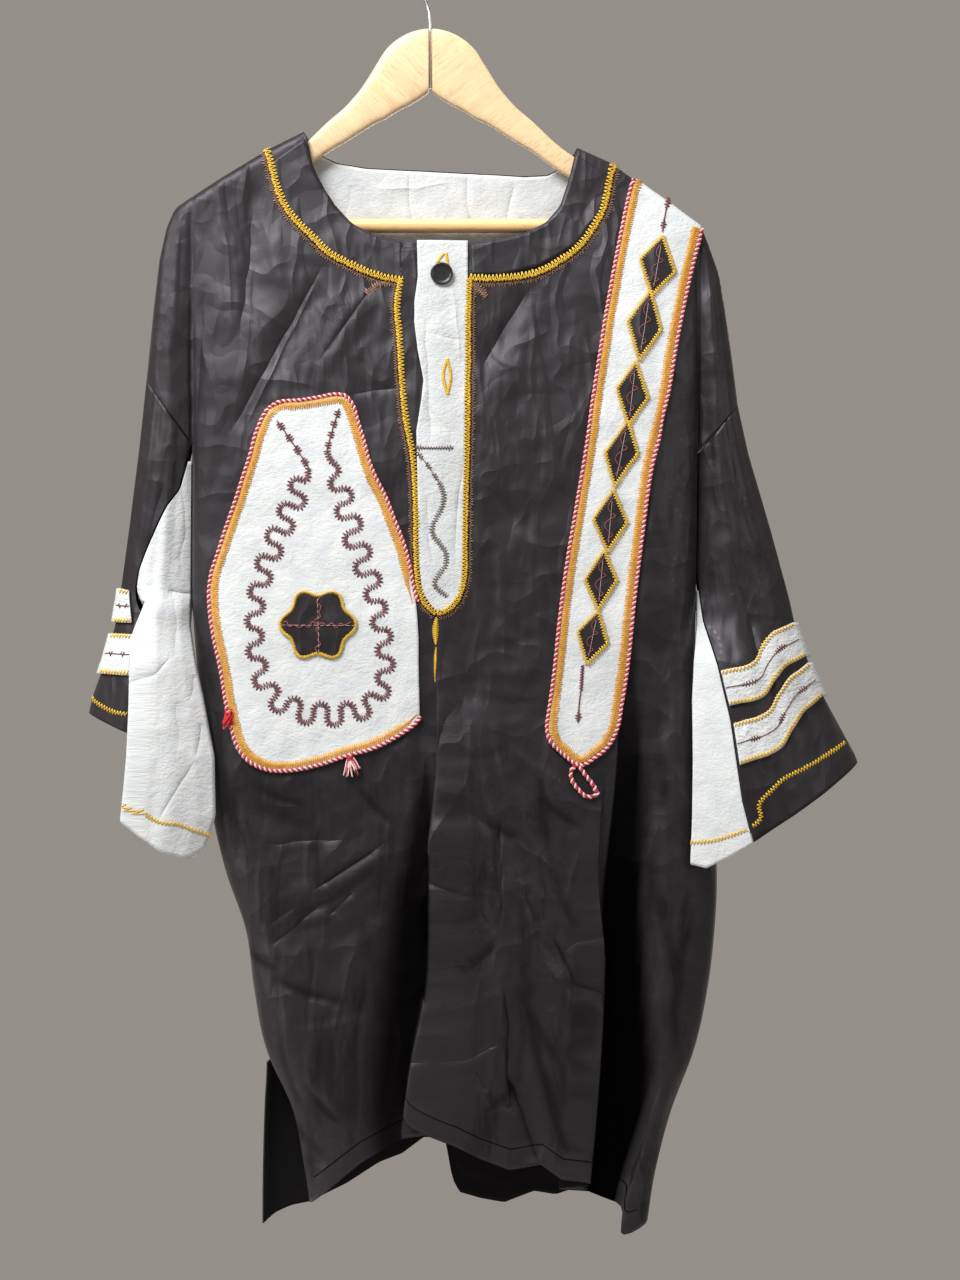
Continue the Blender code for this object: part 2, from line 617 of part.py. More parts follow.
class Arm:
    """One arm: its sections, the fold that holds the gusset seam, which way it points, and how far
    sleeve and gusset each stop short of their seam."""

    def __init__(self, name, sections, seam_fold, sign, margin):
        self.name, self.sections, self.seam_fold = name, sections, seam_fold
        self.sign, self.margin = sign, margin

    def width(self, z):
        return line_up(self.sections, 1, z), line_up(self.sections, 2, z)

    def seam_x(self, z):
        """Flat x of the seam between black sleeve and white gusset; the inner edge above its top."""
        at = line_up(self.seam_fold, 1, z) + self.sign * seam_at * line_up(self.seam_fold, 2, z)
        return np.where(z > self.seam_fold[0][0], self.width(z)[1], at)

    def tuck(self, z, side):
        """How far both cloths stop short of the seam where it is folded under."""
        folded = line_up(self.seam_fold, 2, z) * line_up(self.seam_fold, 3, z)
        return 0.17 * folded if side == 1 else 0 * folded

    def surface(self, x, z, side):
        """Point of the arm's front (side 1) or back (side 2) at a flat place x, z."""
        outer, inner = self.width(z)
        place = np.clip((x - outer) / (inner - outer), 0, 1)
        points = arm_surface(self.sections, place, z, side)
        if side == 1:
            shift, step = fold(x, z, self.seam_fold, self.sign, 1)
            points[..., 0] += shift
            points[..., 1] -= step * np.clip(np.minimum(place, 1 - place) * 8, 0, 1)
        return points


left_arm = Arm("left", arm_left, gusset_seam_left, 1, 0.8)
right_arm = Arm("right", arm_right, gusset_seam_right, -1, 0.4)
black_shares = np.array([0, 0.05, 0.18, 0.36, 0.55, 0.75, 0.88, 1.0])


def black_places(arm, z, shares, margin, side):
    """Flat x of the black sleeve's columns, from the outer fold to the gusset seam."""
    outer = arm.width(z)[0]
    return outer + (arm.seam_x(z) - arm.sign * (margin + arm.tuck(z, side)) - outer) * shares


def sleeve(arm, top, hem):
    """Black sleeve: from the front gusset seam round the outer fold to the back gusset seam."""
    (outer_x, outer_z), (inner_x, inner_z) = top
    share = np.linspace(0, 1, sleeve_rows + 1)[:, None]
    blocks = []
    for side in (1, 2):
        top_z = outer_z + (inner_z - outer_z) * black_shares - 0.8
        top_x = outer_x + (inner_x - outer_x) * black_shares
        foot_z = hem[0] + (hem[1] - hem[0]) * black_shares
        z = top_z + (foot_z - top_z) * share
        x = black_places(arm, z, black_shares, arm.margin, side)
        x = x + (top_x - x[:1]) * (1 - ease(share * 5)) * (black_shares < 0.99)
        blocks.append(arm.surface(x, z, side))
    whole = np.concatenate([blocks[0][:, ::-1], blocks[1]], axis=1)
    cloth_wall("sleeve_" + arm.name, [whole], cloth, black)


def gusset(arm, side, top_z, hem):
    """White underarm panel of one face, from the sleeve seam to the inner edge."""
    folded = arm is left_arm and side == 1
    reach = np.linspace(0, 1, 8 if folded else 5)
    foot_z = line_up(hem, 1, reach)
    z = top_z + (foot_z - top_z) * np.linspace(0, 1, sleeve_rows + 3)[:, None]
    start = arm.seam_x(z) + arm.sign * (arm.margin + arm.tuck(z, side))
    end = arm.width(z)[1] - arm.sign * 0.9
    x = start + (end - start) * reach
    if folded:
        half = line_up(arm.seam_fold, 2, z)
        centre = line_up(arm.seam_fold, 1, z) + arm.sign * 1.03 * half
        turns = np.array([-0.2, 0.05, 0.33, 0.53, 0.78])
        in_fold = centre + arm.sign * half * np.concatenate([turns, [1.0, 1.0, 1.0]])
        in_fold[:, 0] = start[:, 0]
        beyond = np.array([0, 0, 0, 0, 0, 0, 0.5, 1.0])
        in_fold = in_fold + (end - in_fold) * beyond
        x = x + (in_fold - x) * ease((-510 - z) / 50)
    cloth_wall("gusset_%s_%s" % (arm.name, "front" if side == 1 else "back"),
               [arm.surface(x, z, side)], cloth, white)


def sleeve_band(arm, number, heights):
    """White band round the sleeve: heights are its upper and lower z at the outer fold and at the seam."""
    share = np.linspace(0, 1, 3)[:, None]
    (upper_out, lower_out), (upper_in, lower_in) = heights
    upper = upper_out + (upper_in - upper_out) * black_shares
    lower = lower_out + (lower_in - lower_out) * black_shares
    z = upper + (lower - upper) * share
    blocks = []
    for side in (1, 2):
        x = black_places(arm, z, black_shares * 0.99, 10 if arm.sign > 0 and side == 1 else 1, side)
        outward = (on_cloth + 2 * gap) * (1 if side == 1 else -1)
        blocks.append(lifted(lambda a, b: arm.surface(a, b, side), x, z, outward))
    middle = (blocks[0][:, 1:2] + blocks[1][:, 1:2]) / 2
    middle[..., 0] = arm.width(z[:, :1])[0] - arm.sign * (on_cloth + 2.4)
    whole = np.concatenate([blocks[0][:, :0:-1], middle, blocks[1][:, 1:]], axis=1)
    cloth_wall("sleeve_%s_band_%d" % (arm.name, number), [whole], trim, white)


left_hem = [(0, -712), (0.27, -750), (0.4, -757), (0.7, -780), (0.9, -785), (1, -776)]
right_hem = [(0, -771), (0.4, -783), (0.75, -792), (1, -789)]
sleeve(left_arm, ((-242, -380), (-203, -436)), (-664, -682))
sleeve(right_arm, ((262, -402), (228, -443)), (-706, -770))
for side in (1, 2):
    gusset(left_arm, side, -450, left_hem)
    gusset(right_arm, side, -560, right_hem)
sleeve_band(left_arm, 1, ((-558, -587), (-560, -588)))
sleeve_band(left_arm, 2, ((-597, -631), (-598, -632)))
sleeve_band(right_arm, 1, ((-586, -615), (-628, -657)))
sleeve_band(right_arm, 2, ((-620, -648), (-672, -706)))


# ---------------------------------------------------------------- button, knot, tassel and loop
def turned(name, profile, centre, axis_y, colour, roughness, sides=24):
    """A closed turned piece: profile is radius, height pairs from the axis round to the axis."""
    shape = bmesh.new()
    previous = None
    for radius, height in profile:
        ring = []
        if radius == 0:
            ring = [shape.verts.new((0, 0, height * mm))]
        else:
            for step in range(sides):
                turn = 2 * math.pi * step / sides
                ring.append(shape.verts.new((radius * math.cos(turn) * mm, radius * math.sin(turn) * mm,
                                             height * mm)))
        if previous is not None:
            for step in range(sides):
                corners = [previous[step % len(previous)], previous[(step + 1) % len(previous)],
                           ring[(step + 1) % len(ring)], ring[step % len(ring)]]
                shape.faces.new(list(dict.fromkeys(corners)))
        previous = ring
    bmesh.ops.recalc_face_normals(shape, faces=shape.faces)
    mesh = bpy.data.meshes.new(name)
    shape.to_mesh(mesh)
    shape.free()
    made = add_object(name, mesh, colour, roughness)
    made.location = [value * mm for value in centre]
    if axis_y:
        made.rotation_euler = (math.radians(90), 0, 0)
    return made


def small_pieces():
    point = lifted(front_surface, np.array(10.0), np.array(-294.0), on_trim + trim / 2 + 2.6)
    turned("button", [(0, -1.2), (8.2, -1.2), (9.5, -0.2), (9.5, 0.8), (8.4, 1.5), (7.0, 1.0), (6.2, 0.6), (0, 0.6)],
           point, True, black, 0.25)
    point = lifted(front_surface, np.array(-166.0), np.array(-668.0), 0.0)
    turned("patch_knot", [(0, -5), (3, -4.2), (5, -1.5), (5, 1.5), (3, 4.2), (0, 5)],
           (point[0] - 2, point[1] - 8.0, point[2]), True, red, 0.8, 12)
    point = lifted(front_surface, np.array(-66.0), np.array(-702.0), 0.0)
    turned("patch_tassel", [(0, 4), (2.4, 3), (3, 0), (2.2, -2.5), (3.6, -8), (5.2, -17), (0, -17)],
           (point[0], point[1] - 6.5, point[2] + 2), False, red, 0.8, 12)


small_pieces()


def tube(name, points, radius, colour, roughness, metallic=0.0, resolution=2):
    curve = bpy.data.curves.new(name, "CURVE")
    curve.dimensions = "3D"
    curve.bevel_depth = radius * mm
    curve.bevel_resolution = resolution
    curve.use_fill_caps = True
    run = curve.splines.new("POLY")
    run.points.add(len(points) - 1)
    for point, place in zip(run.points, points):
        point.co = (*[value * mm for value in place], 1.0)
    curve.materials.append(material(name + "_finish", colour, roughness, metallic))
    made = bpy.data.objects.new(name, curve)
    bpy.context.scene.collection.objects.link(made)
    return made


def strip_loop():
    turn = np.linspace(math.radians(40), math.radians(-220), 18)
    x = 127 + 9.5 * np.cos(turn)
    z = -720.5 + 11.5 * np.sin(turn)
    points = lifted(front_surface, x, z, cloth / 2 + gap + 1.5)
    tube("strip_loop", points, 1.1, red, 0.8)


strip_loop()


# ---------------------------------------------------------------- hanger
def hanger_arm(name, sign):
    """One wooden half: rounded sections along the arm."""
    sides = 14
    shape = bmesh.new()
    previous = None
    for reach, top, foot, half in arm_wood:
        ring = []
        for step in range(sides):
            turn = 2 * math.pi * step / sides
            across, up = math.cos(turn), math.sin(turn)
            y = half * math.copysign(abs(across) ** 0.6, across)
            z = (top + foot) / 2 + (top - foot) / 2 * math.copysign(abs(up) ** 0.75, up)
            ring.append(shape.verts.new((sign * reach * mm, y * mm, z * mm)))
        if previous is None:
            shape.faces.new(ring)
        else:
            for step in range(sides):
                after = (step + 1) % sides
                shape.faces.new([previous[step], previous[after], ring[after], ring[step]])
        previous = ring
    shape.faces.new(previous)
    bmesh.ops.recalc_face_normals(shape, faces=shape.faces)
    mesh = bpy.data.meshes.new(name)
    shape.to_mesh(mesh)
    shape.free()
    return add_object(name, mesh, (0.62, 0.42, 0.22), 0.45)


def cutter(name, radius, depth, location, rotation):
    bpy.ops.mesh.primitive_cylinder_add(vertices=20, radius=radius * mm, depth=depth * mm,
                                        location=[value * mm for value in location], rotation=rotation)
    made = bpy.context.object
    made.name = name
    made.hide_render = True
    made.display_type = "WIRE"
    return made


def cut(target, tool, name):
    boolean = target.modifiers.new(name, "BOOLEAN")
    boolean.operation = "DIFFERENCE"
    boolean.object = tool
    boolean.solver = "EXACT"


def hanger():
    stem_hole = cutter("stem_hole", wire_radius + gap, 60, (0, 0, -105), (0, 0, 0))
    bar_hole = cutter("bar_hole", bar_radius + gap, 2 * bar_half_length + 2 * gap, (0, 0, bar_height),
                      (0, math.radians(90), 0))
    for name, sign in (("hanger_arm_left", -1), ("hanger_arm_right", 1)):
        arm = hanger_arm(name, sign)
        cut(arm, stem_hole, "stem hole")
        cut(arm, bar_hole, "bar hole")
    bpy.ops.mesh.primitive_cylinder_add(vertices=24, radius=(bar_radius) * mm, depth=2 * bar_half_length * mm,
                                        location=(0, 0, bar_height * mm), rotation=(0, math.radians(90), 0))
    bar = bpy.context.object
    bar.name = "hanger_bar"
    bar.data.materials.append(material("hanger_bar_finish", (0.66, 0.46, 0.25), 0.5))
    bow = hook_radius + wire_radius
    turn = np.linspace(math.radians(215), math.radians(-40), 26)
    loop = [(bow * math.cos(a), 0, -hook_radius + bow * math.sin(a)) for a in turn]
    stem = [(0, 0, -130), (0, 0, -100), (0, 0, -75), (-0.6, 0, -66), (-3.5, 0, -56), (-9, 0, -47.5), (-14.5, 0, -41)]
    tube("hanger_hook", stem + loop, wire_radius, (0.75, 0.75, 0.76), 0.25, 1.0, 3)


hanger()
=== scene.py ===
import math

import bmesh
import bpy
import numpy as np
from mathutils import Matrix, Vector


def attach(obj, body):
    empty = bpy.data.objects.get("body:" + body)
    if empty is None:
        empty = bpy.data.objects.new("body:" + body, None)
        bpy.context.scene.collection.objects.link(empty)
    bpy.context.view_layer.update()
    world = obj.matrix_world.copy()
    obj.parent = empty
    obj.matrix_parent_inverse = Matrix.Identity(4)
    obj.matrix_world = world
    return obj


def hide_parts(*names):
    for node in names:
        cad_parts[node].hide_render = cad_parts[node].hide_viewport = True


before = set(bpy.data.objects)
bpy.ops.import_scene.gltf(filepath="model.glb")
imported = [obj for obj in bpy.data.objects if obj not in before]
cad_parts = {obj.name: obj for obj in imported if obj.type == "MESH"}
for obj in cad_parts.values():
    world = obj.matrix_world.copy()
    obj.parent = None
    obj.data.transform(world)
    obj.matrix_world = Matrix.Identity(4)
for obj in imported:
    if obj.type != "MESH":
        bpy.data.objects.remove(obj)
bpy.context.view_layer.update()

mm = 0.001

# camera and stage
studio = {
    "cameraPlace": (0.0423, -1.700, -0.6019),
    "lens": 55.92,               # on a 36 mm long side
    "backGrey": (0.300, 0.276, 0.250),
    "floorHeight": -1.42,
    "floorRadius": 0.80,
}
camera = bpy.data.objects.new("camera", bpy.data.cameras.new("camera"))
bpy.context.scene.collection.objects.link(camera)
camera.data.lens = studio["lens"]
camera.data.sensor_width = 36.0
camera.data.clip_start = 0.05
camera.location = studio["cameraPlace"]
camera.rotation_euler = (math.radians(90), 0, 0)
bpy.context.scene.camera = camera


# a node's output that can be reckoned with: each sign adds one Math node to its tree
class Wire:
    def __init__(self, socket):
        self.socket, self.tree = socket, socket.id_data

    def __add__(self, other):
        return calculate("ADD", self, other)

    def __radd__(self, other):
        return calculate("ADD", other, self)

    def __sub__(self, other):
        return calculate("SUBTRACT", self, other)

    def __rsub__(self, other):
        return calculate("SUBTRACT", other, self)

    def __mul__(self, other):
        return calculate("MULTIPLY", self, other)

    def __pow__(self, other):
        return calculate("POWER", self, other)

    def __abs__(self):
        return calculate("ABSOLUTE", self)


# puts numbers and wires into a node's inputs
def feed(node, values):
    for key, value in values.items():
        if isinstance(value, Wire):
            node.id_data.links.new(value.socket, node.inputs[key])
        else:
            node.inputs[key].default_value = value


# a new node's output: settings are the node's own options, its tree is that of the wires among its values
def addNode(kind, values, out=0, tree=None, **settings):
    tree = tree or next(value.tree for value in values.values() if isinstance(value, Wire))
    made = tree.nodes.new(kind)
    for key, value in settings.items():
        setattr(made, key, value)
    feed(made, values)
    return Wire(made.outputs[out])


def calculate(operation, *numbers, clamp=False):
    return addNode("ShaderNodeMath", dict(enumerate(numbers)), operation=operation, use_clamp=clamp)


def vectorMath(operation, *vectors, out=0):
    return addNode("ShaderNodeVectorMath", dict(enumerate(vectors)), out, operation=operation)


# blends two colours by a factor
def mixColour(factor, first, second):
    first, second = (one if isinstance(one, Wire) else (*one, 1.0) for one in (first, second))
    return addNode("ShaderNodeMix", {0: factor, 6: first, 7: second}, 2, data_type="RGBA")


# maps a factor from one range to another, clamped
def remap(value, low, high, newLow=0.0, newHigh=1.0, smooth=False):
    return addNode("ShaderNodeMapRange", {0: value, 1: low, 2: high, 3: newLow, 4: newHigh},
                   interpolation_type="SMOOTHSTEP" if smooth else "LINEAR")


# noise at a place, stretched by scale per axis and turned
def noiseOf(place, scale, detail, stretch=(1, 1, 1), roughness=0.5, turn=0.0):
    mapped = addNode("ShaderNodeMapping", {"Vector": place, "Scale": stretch, "Rotation": (0, 0, turn)})
    return addNode("ShaderNodeTexNoise", {"Vector": mapped, "Scale": scale, "Detail": detail,
                                          "Roughness": roughness})


# the places a pattern reads: flat ones in the cut of a cloth, or those on the object
def cutPlace(material):
    return addNode("ShaderNodeUVMap", {}, tree=material.node_tree, uv_map="cut")


def solidPlace(material):
    return addNode("ShaderNodeTexCoord", {}, "Object", tree=material.node_tree)


def newMaterial(name, colour, roughness, metallic=0.0, sheen=0.0, sheenTint=(1, 1, 1)):
    made = bpy.data.materials.new(name)
    made.use_nodes = True
    shader = made.node_tree.nodes["Principled BSDF"]
    feed(shader, {"Base Color": (*colour, 1), "Roughness": roughness, "Metallic": metallic,
                  "Sheen Weight": sheen, "Sheen Tint": (*sheenTint, 1)})
    made.diffuse_color = (*colour, 1)
    return made, shader


# stacks bumps: each layer is a height, a strength and a distance in metres
def bumpInto(shader, *layers):
    below = {}
    for height, strength, distance in layers:
        below = {"Normal": addNode("ShaderNodeBump",
                                   {"Height": height, "Strength": strength, "Distance": distance, **below})}
    feed(shader, below)


# thin ridges where a noise crosses its middle: one at the middle, 0 at a width from it
def ridgesOf(noise, width, smooth=False):
    return remap(abs(noise - 0.5), 0.0, width, 1.0, 0.0, smooth)


# a net of sharp creases from a turned noise
def creaseNet(cut, scale, width, stretch, turn):
    return ridgesOf(noiseOf(cut, scale, 2.0, stretch, 0.5, turn), width)


# a plain weave: two noises drawn out along warp and weft
def weaveOf(cut, scale, draw):
    return noiseOf(cut, scale, 2.0, (1.0, draw, 1)) + noiseOf(cut, scale, 2.0, (draw, 1.0, 1))


# pressed creases in mm of the cut: x, z of both ends, width, depth (ridge when negative). Each is
# a fall of e to the minus distance over width, faded at its ends; gives their summed height and deep cores
def pressedLines(cut, lines):
    wander = 0.010                        # how far the creases stray from straight (m)
    moved = vectorMath("ADD", cut, noiseOf(cut, 26.0, 1.0) * wander)
    height = 0.0
    for x0, z0, x1, z1, width, depth in lines:
        run = math.hypot(x1 - x0, z1 - z0)
        alongX, alongZ = (x1 - x0) / run, (z1 - z0) / run
        reach = vectorMath("SUBTRACT", moved, (x0 / 1000 + wander / 2, z0 / 1000 + wander / 2, 0))
        share = vectorMath("DOT_PRODUCT", reach, (alongX * 1000 / run, alongZ * 1000 / run, 0), out=1)
        off = vectorMath("DOT_PRODUCT", reach, (alongZ, -alongX, 0), out=1)
        fade = remap(share * (1.0 - share), 0.0, 0.16)
        bell = calculate("EXPONENT", abs(off) * (-1000 / width)) * fade
        height = height + bell * -depth
    return height, remap(height, -0.3, -3.4) ** 2.4


damask = {
    "colour": (0.0054, 0.0046, 0.0052),
    "warm": (0.0105, 0.0080, 0.0090),     # where the nap catches the light
    # painted highlight along the ridges of the long crumples
    "creasing": (0.020, 0.017, 0.018),        # along the long crumples
    "figure": (0.024, 0.020, 0.021),
    "threads": (0.019, 0.016, 0.018),
    # painted shade: the colour the cloth turns in the hollows beside the folds, in crease cores and in small
    # crumples
    "paintedShade": (0.0012, 0.0010, 0.0011),
    "roughness": (0.48, 0.38),            # ground, figure
    "medallion": 0.064,                   # repeat of the woven rings (m)
    "ring": 0.33,                         # its radius in repeats
    "petals": (8.0, 0.05, 0.17),          # their number, swing and radius in repeats
    "eyelets": 22.0,
    "sheen": 0.05,
    "gloss": 0.42,
    # strengths of the painted shade in a pressed crease's core and in the small crumples low on the body
    "coreShade": 0.85,                    # darkness of a pressed crease's core
    "groove": 0.40,                       # darkness of the small crumples low on the body
    # painted shade: the wrong side is darker to stand in for the shade inside the garment
    "reverse": (0.0035, 0.0030, 0.0033),
}


# the woven figure: a ring of eyelets round a closed line of petals, in squares of one repeat
def medallions(cut):
    cell = vectorMath("FRACTION", vectorMath("DIVIDE", cut, (damask["medallion"],) * 3))
    centred = vectorMath("SUBTRACT", cell, (0.5, 0.5, 0.0))
    across, up = (addNode("ShaderNodeSeparateXYZ", {0: centred}, axis) for axis in (0, 1))
    reach = calculate("SQRT", across ** 2.0 + up ** 2.0)
    angle = calculate("ARCTAN2", up, across)
    ring = remap(abs(reach - damask["ring"]), 0.012, 0.026, 1.0, 0.0)
    dots = remap(calculate("SINE", angle * damask["eyelets"]), -0.2, 0.3)
    number, swing, radius = damask["petals"]
    petals = calculate("MULTIPLY_ADD", calculate("COSINE", angle * number), swing, radius)
    leaf = remap(abs(reach - petals), 0.006, 0.020, 1.0, 0.0)
    return calculate("MAXIMUM", ring * dots, leaf)


# black cloth: a fine weave, slubs, and woven rings of small eyelets that differ only in gloss; painted shade
# in the hollows beside the folds, in the small crumples and in pressed crease cores, and a painted highlight
# along the long crumples
def damaskMaterial(name, lines):
    made, shader = newMaterial(name, damask["colour"], damask["roughness"][0], sheen=damask["sheen"],
                               sheenTint=(0.75, 0.66, 0.74))
    cut = cutPlace(made)
    tone = noiseOf(cut, 9.0, 3.0, (1, 0.6, 1))
    shown = medallions(cut) * remap(noiseOf(cut, 5.0, 1.0), 0.45, 0.60)
    threads = weaveOf(cut, 1500.0, 0.16)
    streaks = creaseNet(cut, 20.0, 0.10, (1.5, 0.5, 1), 0.12)
    height, core = pressedLines(cut, lines)
    down = addNode("ShaderNodeSeparateXYZ", {0: cut}, 1)
    # painted shade in the small crumples low on the body
    grooveShade = remap(noiseOf(cut, 16.0, 4.0, (2.4, 0.5, 1), 0.62, -0.3), 0.50, 0.66, smooth=True)
    grooveShade = grooveShade * remap(down, -0.62, -0.80, 0.0, damask["groove"])
    # painted shade: hollows beside the folds, small crumples and crease cores darken the colour and take away
    # gloss and sheen
    paintedShade = addNode("ShaderNodeAttribute", {}, "Fac", tree=made.node_tree, attribute_name="paintedShade")
    dark = calculate("MAXIMUM", paintedShade, calculate("MAXIMUM", grooveShade, core * damask["coreShade"]), clamp=True)
    base = mixColour(remap(tone, 0.35, 0.72), damask["colour"], damask["warm"])
    base = mixColour(shown * 0.6, base, damask["figure"])
    base = mixColour(remap(threads, 0.75, 1.45, 0.0, 0.35), base, damask["threads"])
    # painted highlight on the ridges of the long crumples
    base = mixColour(streaks * 0.30, base, damask["creasing"])
    feed(shader, {
        "Base Color": mixColour(dark, base, damask["paintedShade"]),
        "Roughness": remap(shown, 0.0, 1.0, *damask["roughness"]) + remap(tone, 0.3, 0.7, 0.05, -0.05),
        "Specular IOR Level": remap(dark, 0.0, 1.0, damask["gloss"], 0.0),
        "Sheen Weight": remap(dark, 0.0, 0.8, damask["sheen"], 0.0),
        "Specular Tint": (0.95, 0.90, 1.0, 1),
    })
    pressed = creaseNet(cut, 7.0, 0.10, (1.0, 0.75, 1), 0.5)
    crushed = creaseNet(cut, 17.0, 0.12, (0.8, 1.0, 1), -0.6)
    bumpInto(shader, (height, 0.9, 0.001), (pressed, 0.52, 0.0030), (crushed, 0.62, 0.0014),
             (streaks, 0.55, 0.0016), (threads, 0.25, 0.0002), (shown, 0.12, 0.0002))
    return made


# wrong side of the black cloth: no polish and no figure; its colour, darker than the right side's, is painted
# shade inside the garment
def reverseMaterial():
    made, shader = newMaterial("damaskReverse", damask["reverse"], 0.8)
    cut = cutPlace(made)
    weave = noiseOf(cut, 1500.0, 2.0, (0.4, 1.0, 1))
    feed(shader, {"Specular IOR Level": 0.12,
                  "Base Color": mixColour(weave, damask["reverse"], (0.006, 0.005, 0.0055))})
    bumpInto(shader, (noiseOf(cut, 40.0, 3.0), 0.3, 0.0012), (weave, 0.2, 0.0002))
    return made


cotton = {
    "colour": (0.645, 0.665, 0.66),
    "shade": (0.50, 0.54, 0.57),
    "threads": (0.55, 0.57, 0.60),
    # painted shade in the deep of a pressed crease
    "core": (0.36, 0.39, 0.43),           # in the deep of a pressed crease
    "crinkle": 0.0016,                    # height of the fine creases (m)
}


# white cotton: a plain weave with many small unironed creases, given folds and a cool mottled tone
def cottonMaterial(name, crinkle=1.0, lines=(), tone=1.0):
    # a tone below 1 dims the whole cloth: painted shade
    colour, shade = (tuple(tone * part for part in cotton[key]) for key in ("colour", "shade"))
    made, shader = newMaterial(name, colour, 0.86, sheen=0.12)
    cut = cutPlace(made)
    ridges = ridgesOf(noiseOf(cut, 34.0, 3.0, (1, 1, 1), 0.55), 0.14, True)
    small = ridgesOf(noiseOf(cut, 120.0, 3.0, (1.0, 1.6, 1), 0.6, 0.5), 0.12, True)
    threads = weaveOf(cut, 1400.0, 0.2)
    base = mixColour(remap(noiseOf(cut, 60.0, 4.0), 0.38, 0.66, 0.0, 0.55), colour, shade)
    base = mixColour(remap(threads, 0.75, 1.5, 0.14, 0.0), base, cotton["threads"])
    layers = [(ridges * 0.6 + small * 0.4, 0.30 * crinkle, cotton["crinkle"]), (threads, 0.3, 0.0002)]
    if lines:
        height, core = pressedLines(cut, lines)
        # painted shade in the cores of the pressed creases
        base = mixColour(core * 0.45, base, cotton["core"])
        layers.append((height, 0.9, 0.001))
    feed(shader, {"Base Color": base})
    bumpInto(shader, *layers)
    return made


# embroidery thread: colour flecks along the run, fine twist in the bump
def threadMaterial(name, colour, fleck, amount=0.5, roughness=0.5):
    made, shader = newMaterial(name, colour, roughness, sheen=0.06, sheenTint=colour)
    spot = solidPlace(made)
    patchy = remap(noiseOf(spot, 260.0, 3.0), 0.45, 0.70, 0.0, amount)
    feed(shader, {"Base Color": mixColour(patchy, colour, fleck)})
    bumpInto(shader, (noiseOf(spot, 2600.0, 1.0), 0.3, 0.0002))
    return made


# varnished wood: long grain lines turned to the run of the piece, with short flecks
def woodMaterial(name, light, dark, turn):
    made, shader = newMaterial(name, light, 0.42)
    turned = addNode("ShaderNodeMapping", {"Vector": solidPlace(made),
                                           "Rotation": (0, math.radians(turn), 0)})
    grain = noiseOf(turned, 240.0, 4.0, (0.07, 1, 1), 0.6)
    fleck = noiseOf(turned, 900.0, 2.0, (0.10, 1, 1), 0.5)
    broad = noiseOf(turned, 30.0, 2.0, (0.25, 1, 1), 0.5)
    base = mixColour(remap(grain, 0.35, 0.72, 0.0, 0.75), light, dark)
    base = mixColour(remap(fleck, 0.56, 0.70, 0.0, 0.5), base, tuple(0.6 * value for value in dark))
    base = mixColour(remap(broad, 0.4, 0.7, 0.0, 0.35), base, tuple(0.86 * value for value in light))
    feed(shader, {"Base Color": base, "Coat Weight": 0.25, "Coat Roughness": 0.25})
    bumpInto(shader, (grain, 0.15, 0.0004))
    return made


# drawn steel wire: roughness in fine lines along the hook
def steelMaterial():
    made, shader = newMaterial("hookSteel", (0.62, 0.62, 0.63), 0.28, 1.0)
    drawn = noiseOf(solidPlace(made), 900.0, 2.0, (1, 1, 0.08))
    feed(shader, {"Roughness": remap(drawn, 0.3, 0.7, 0.20, 0.38)})
    bumpInto(shader, (drawn, 0.1, 0.0002))
    return made


# black horn of the button, faintly marked
def buttonMaterial():
    black = (0.012, 0.012, 0.013)
    made, shader = newMaterial("buttonBlack", black, 0.30)
    marks = noiseOf(solidPlace(made), 420.0, 4.0)
    feed(shader, {"Roughness": remap(marks, 0.3, 0.75, 0.24, 0.42),
                  "Base Color": mixColour(remap(marks, 0.5, 0.8, 0.0, 0.5), black, (0.022, 0.022, 0.024))})
    bumpInto(shader, (marks, 0.08, 0.0002))
    return made


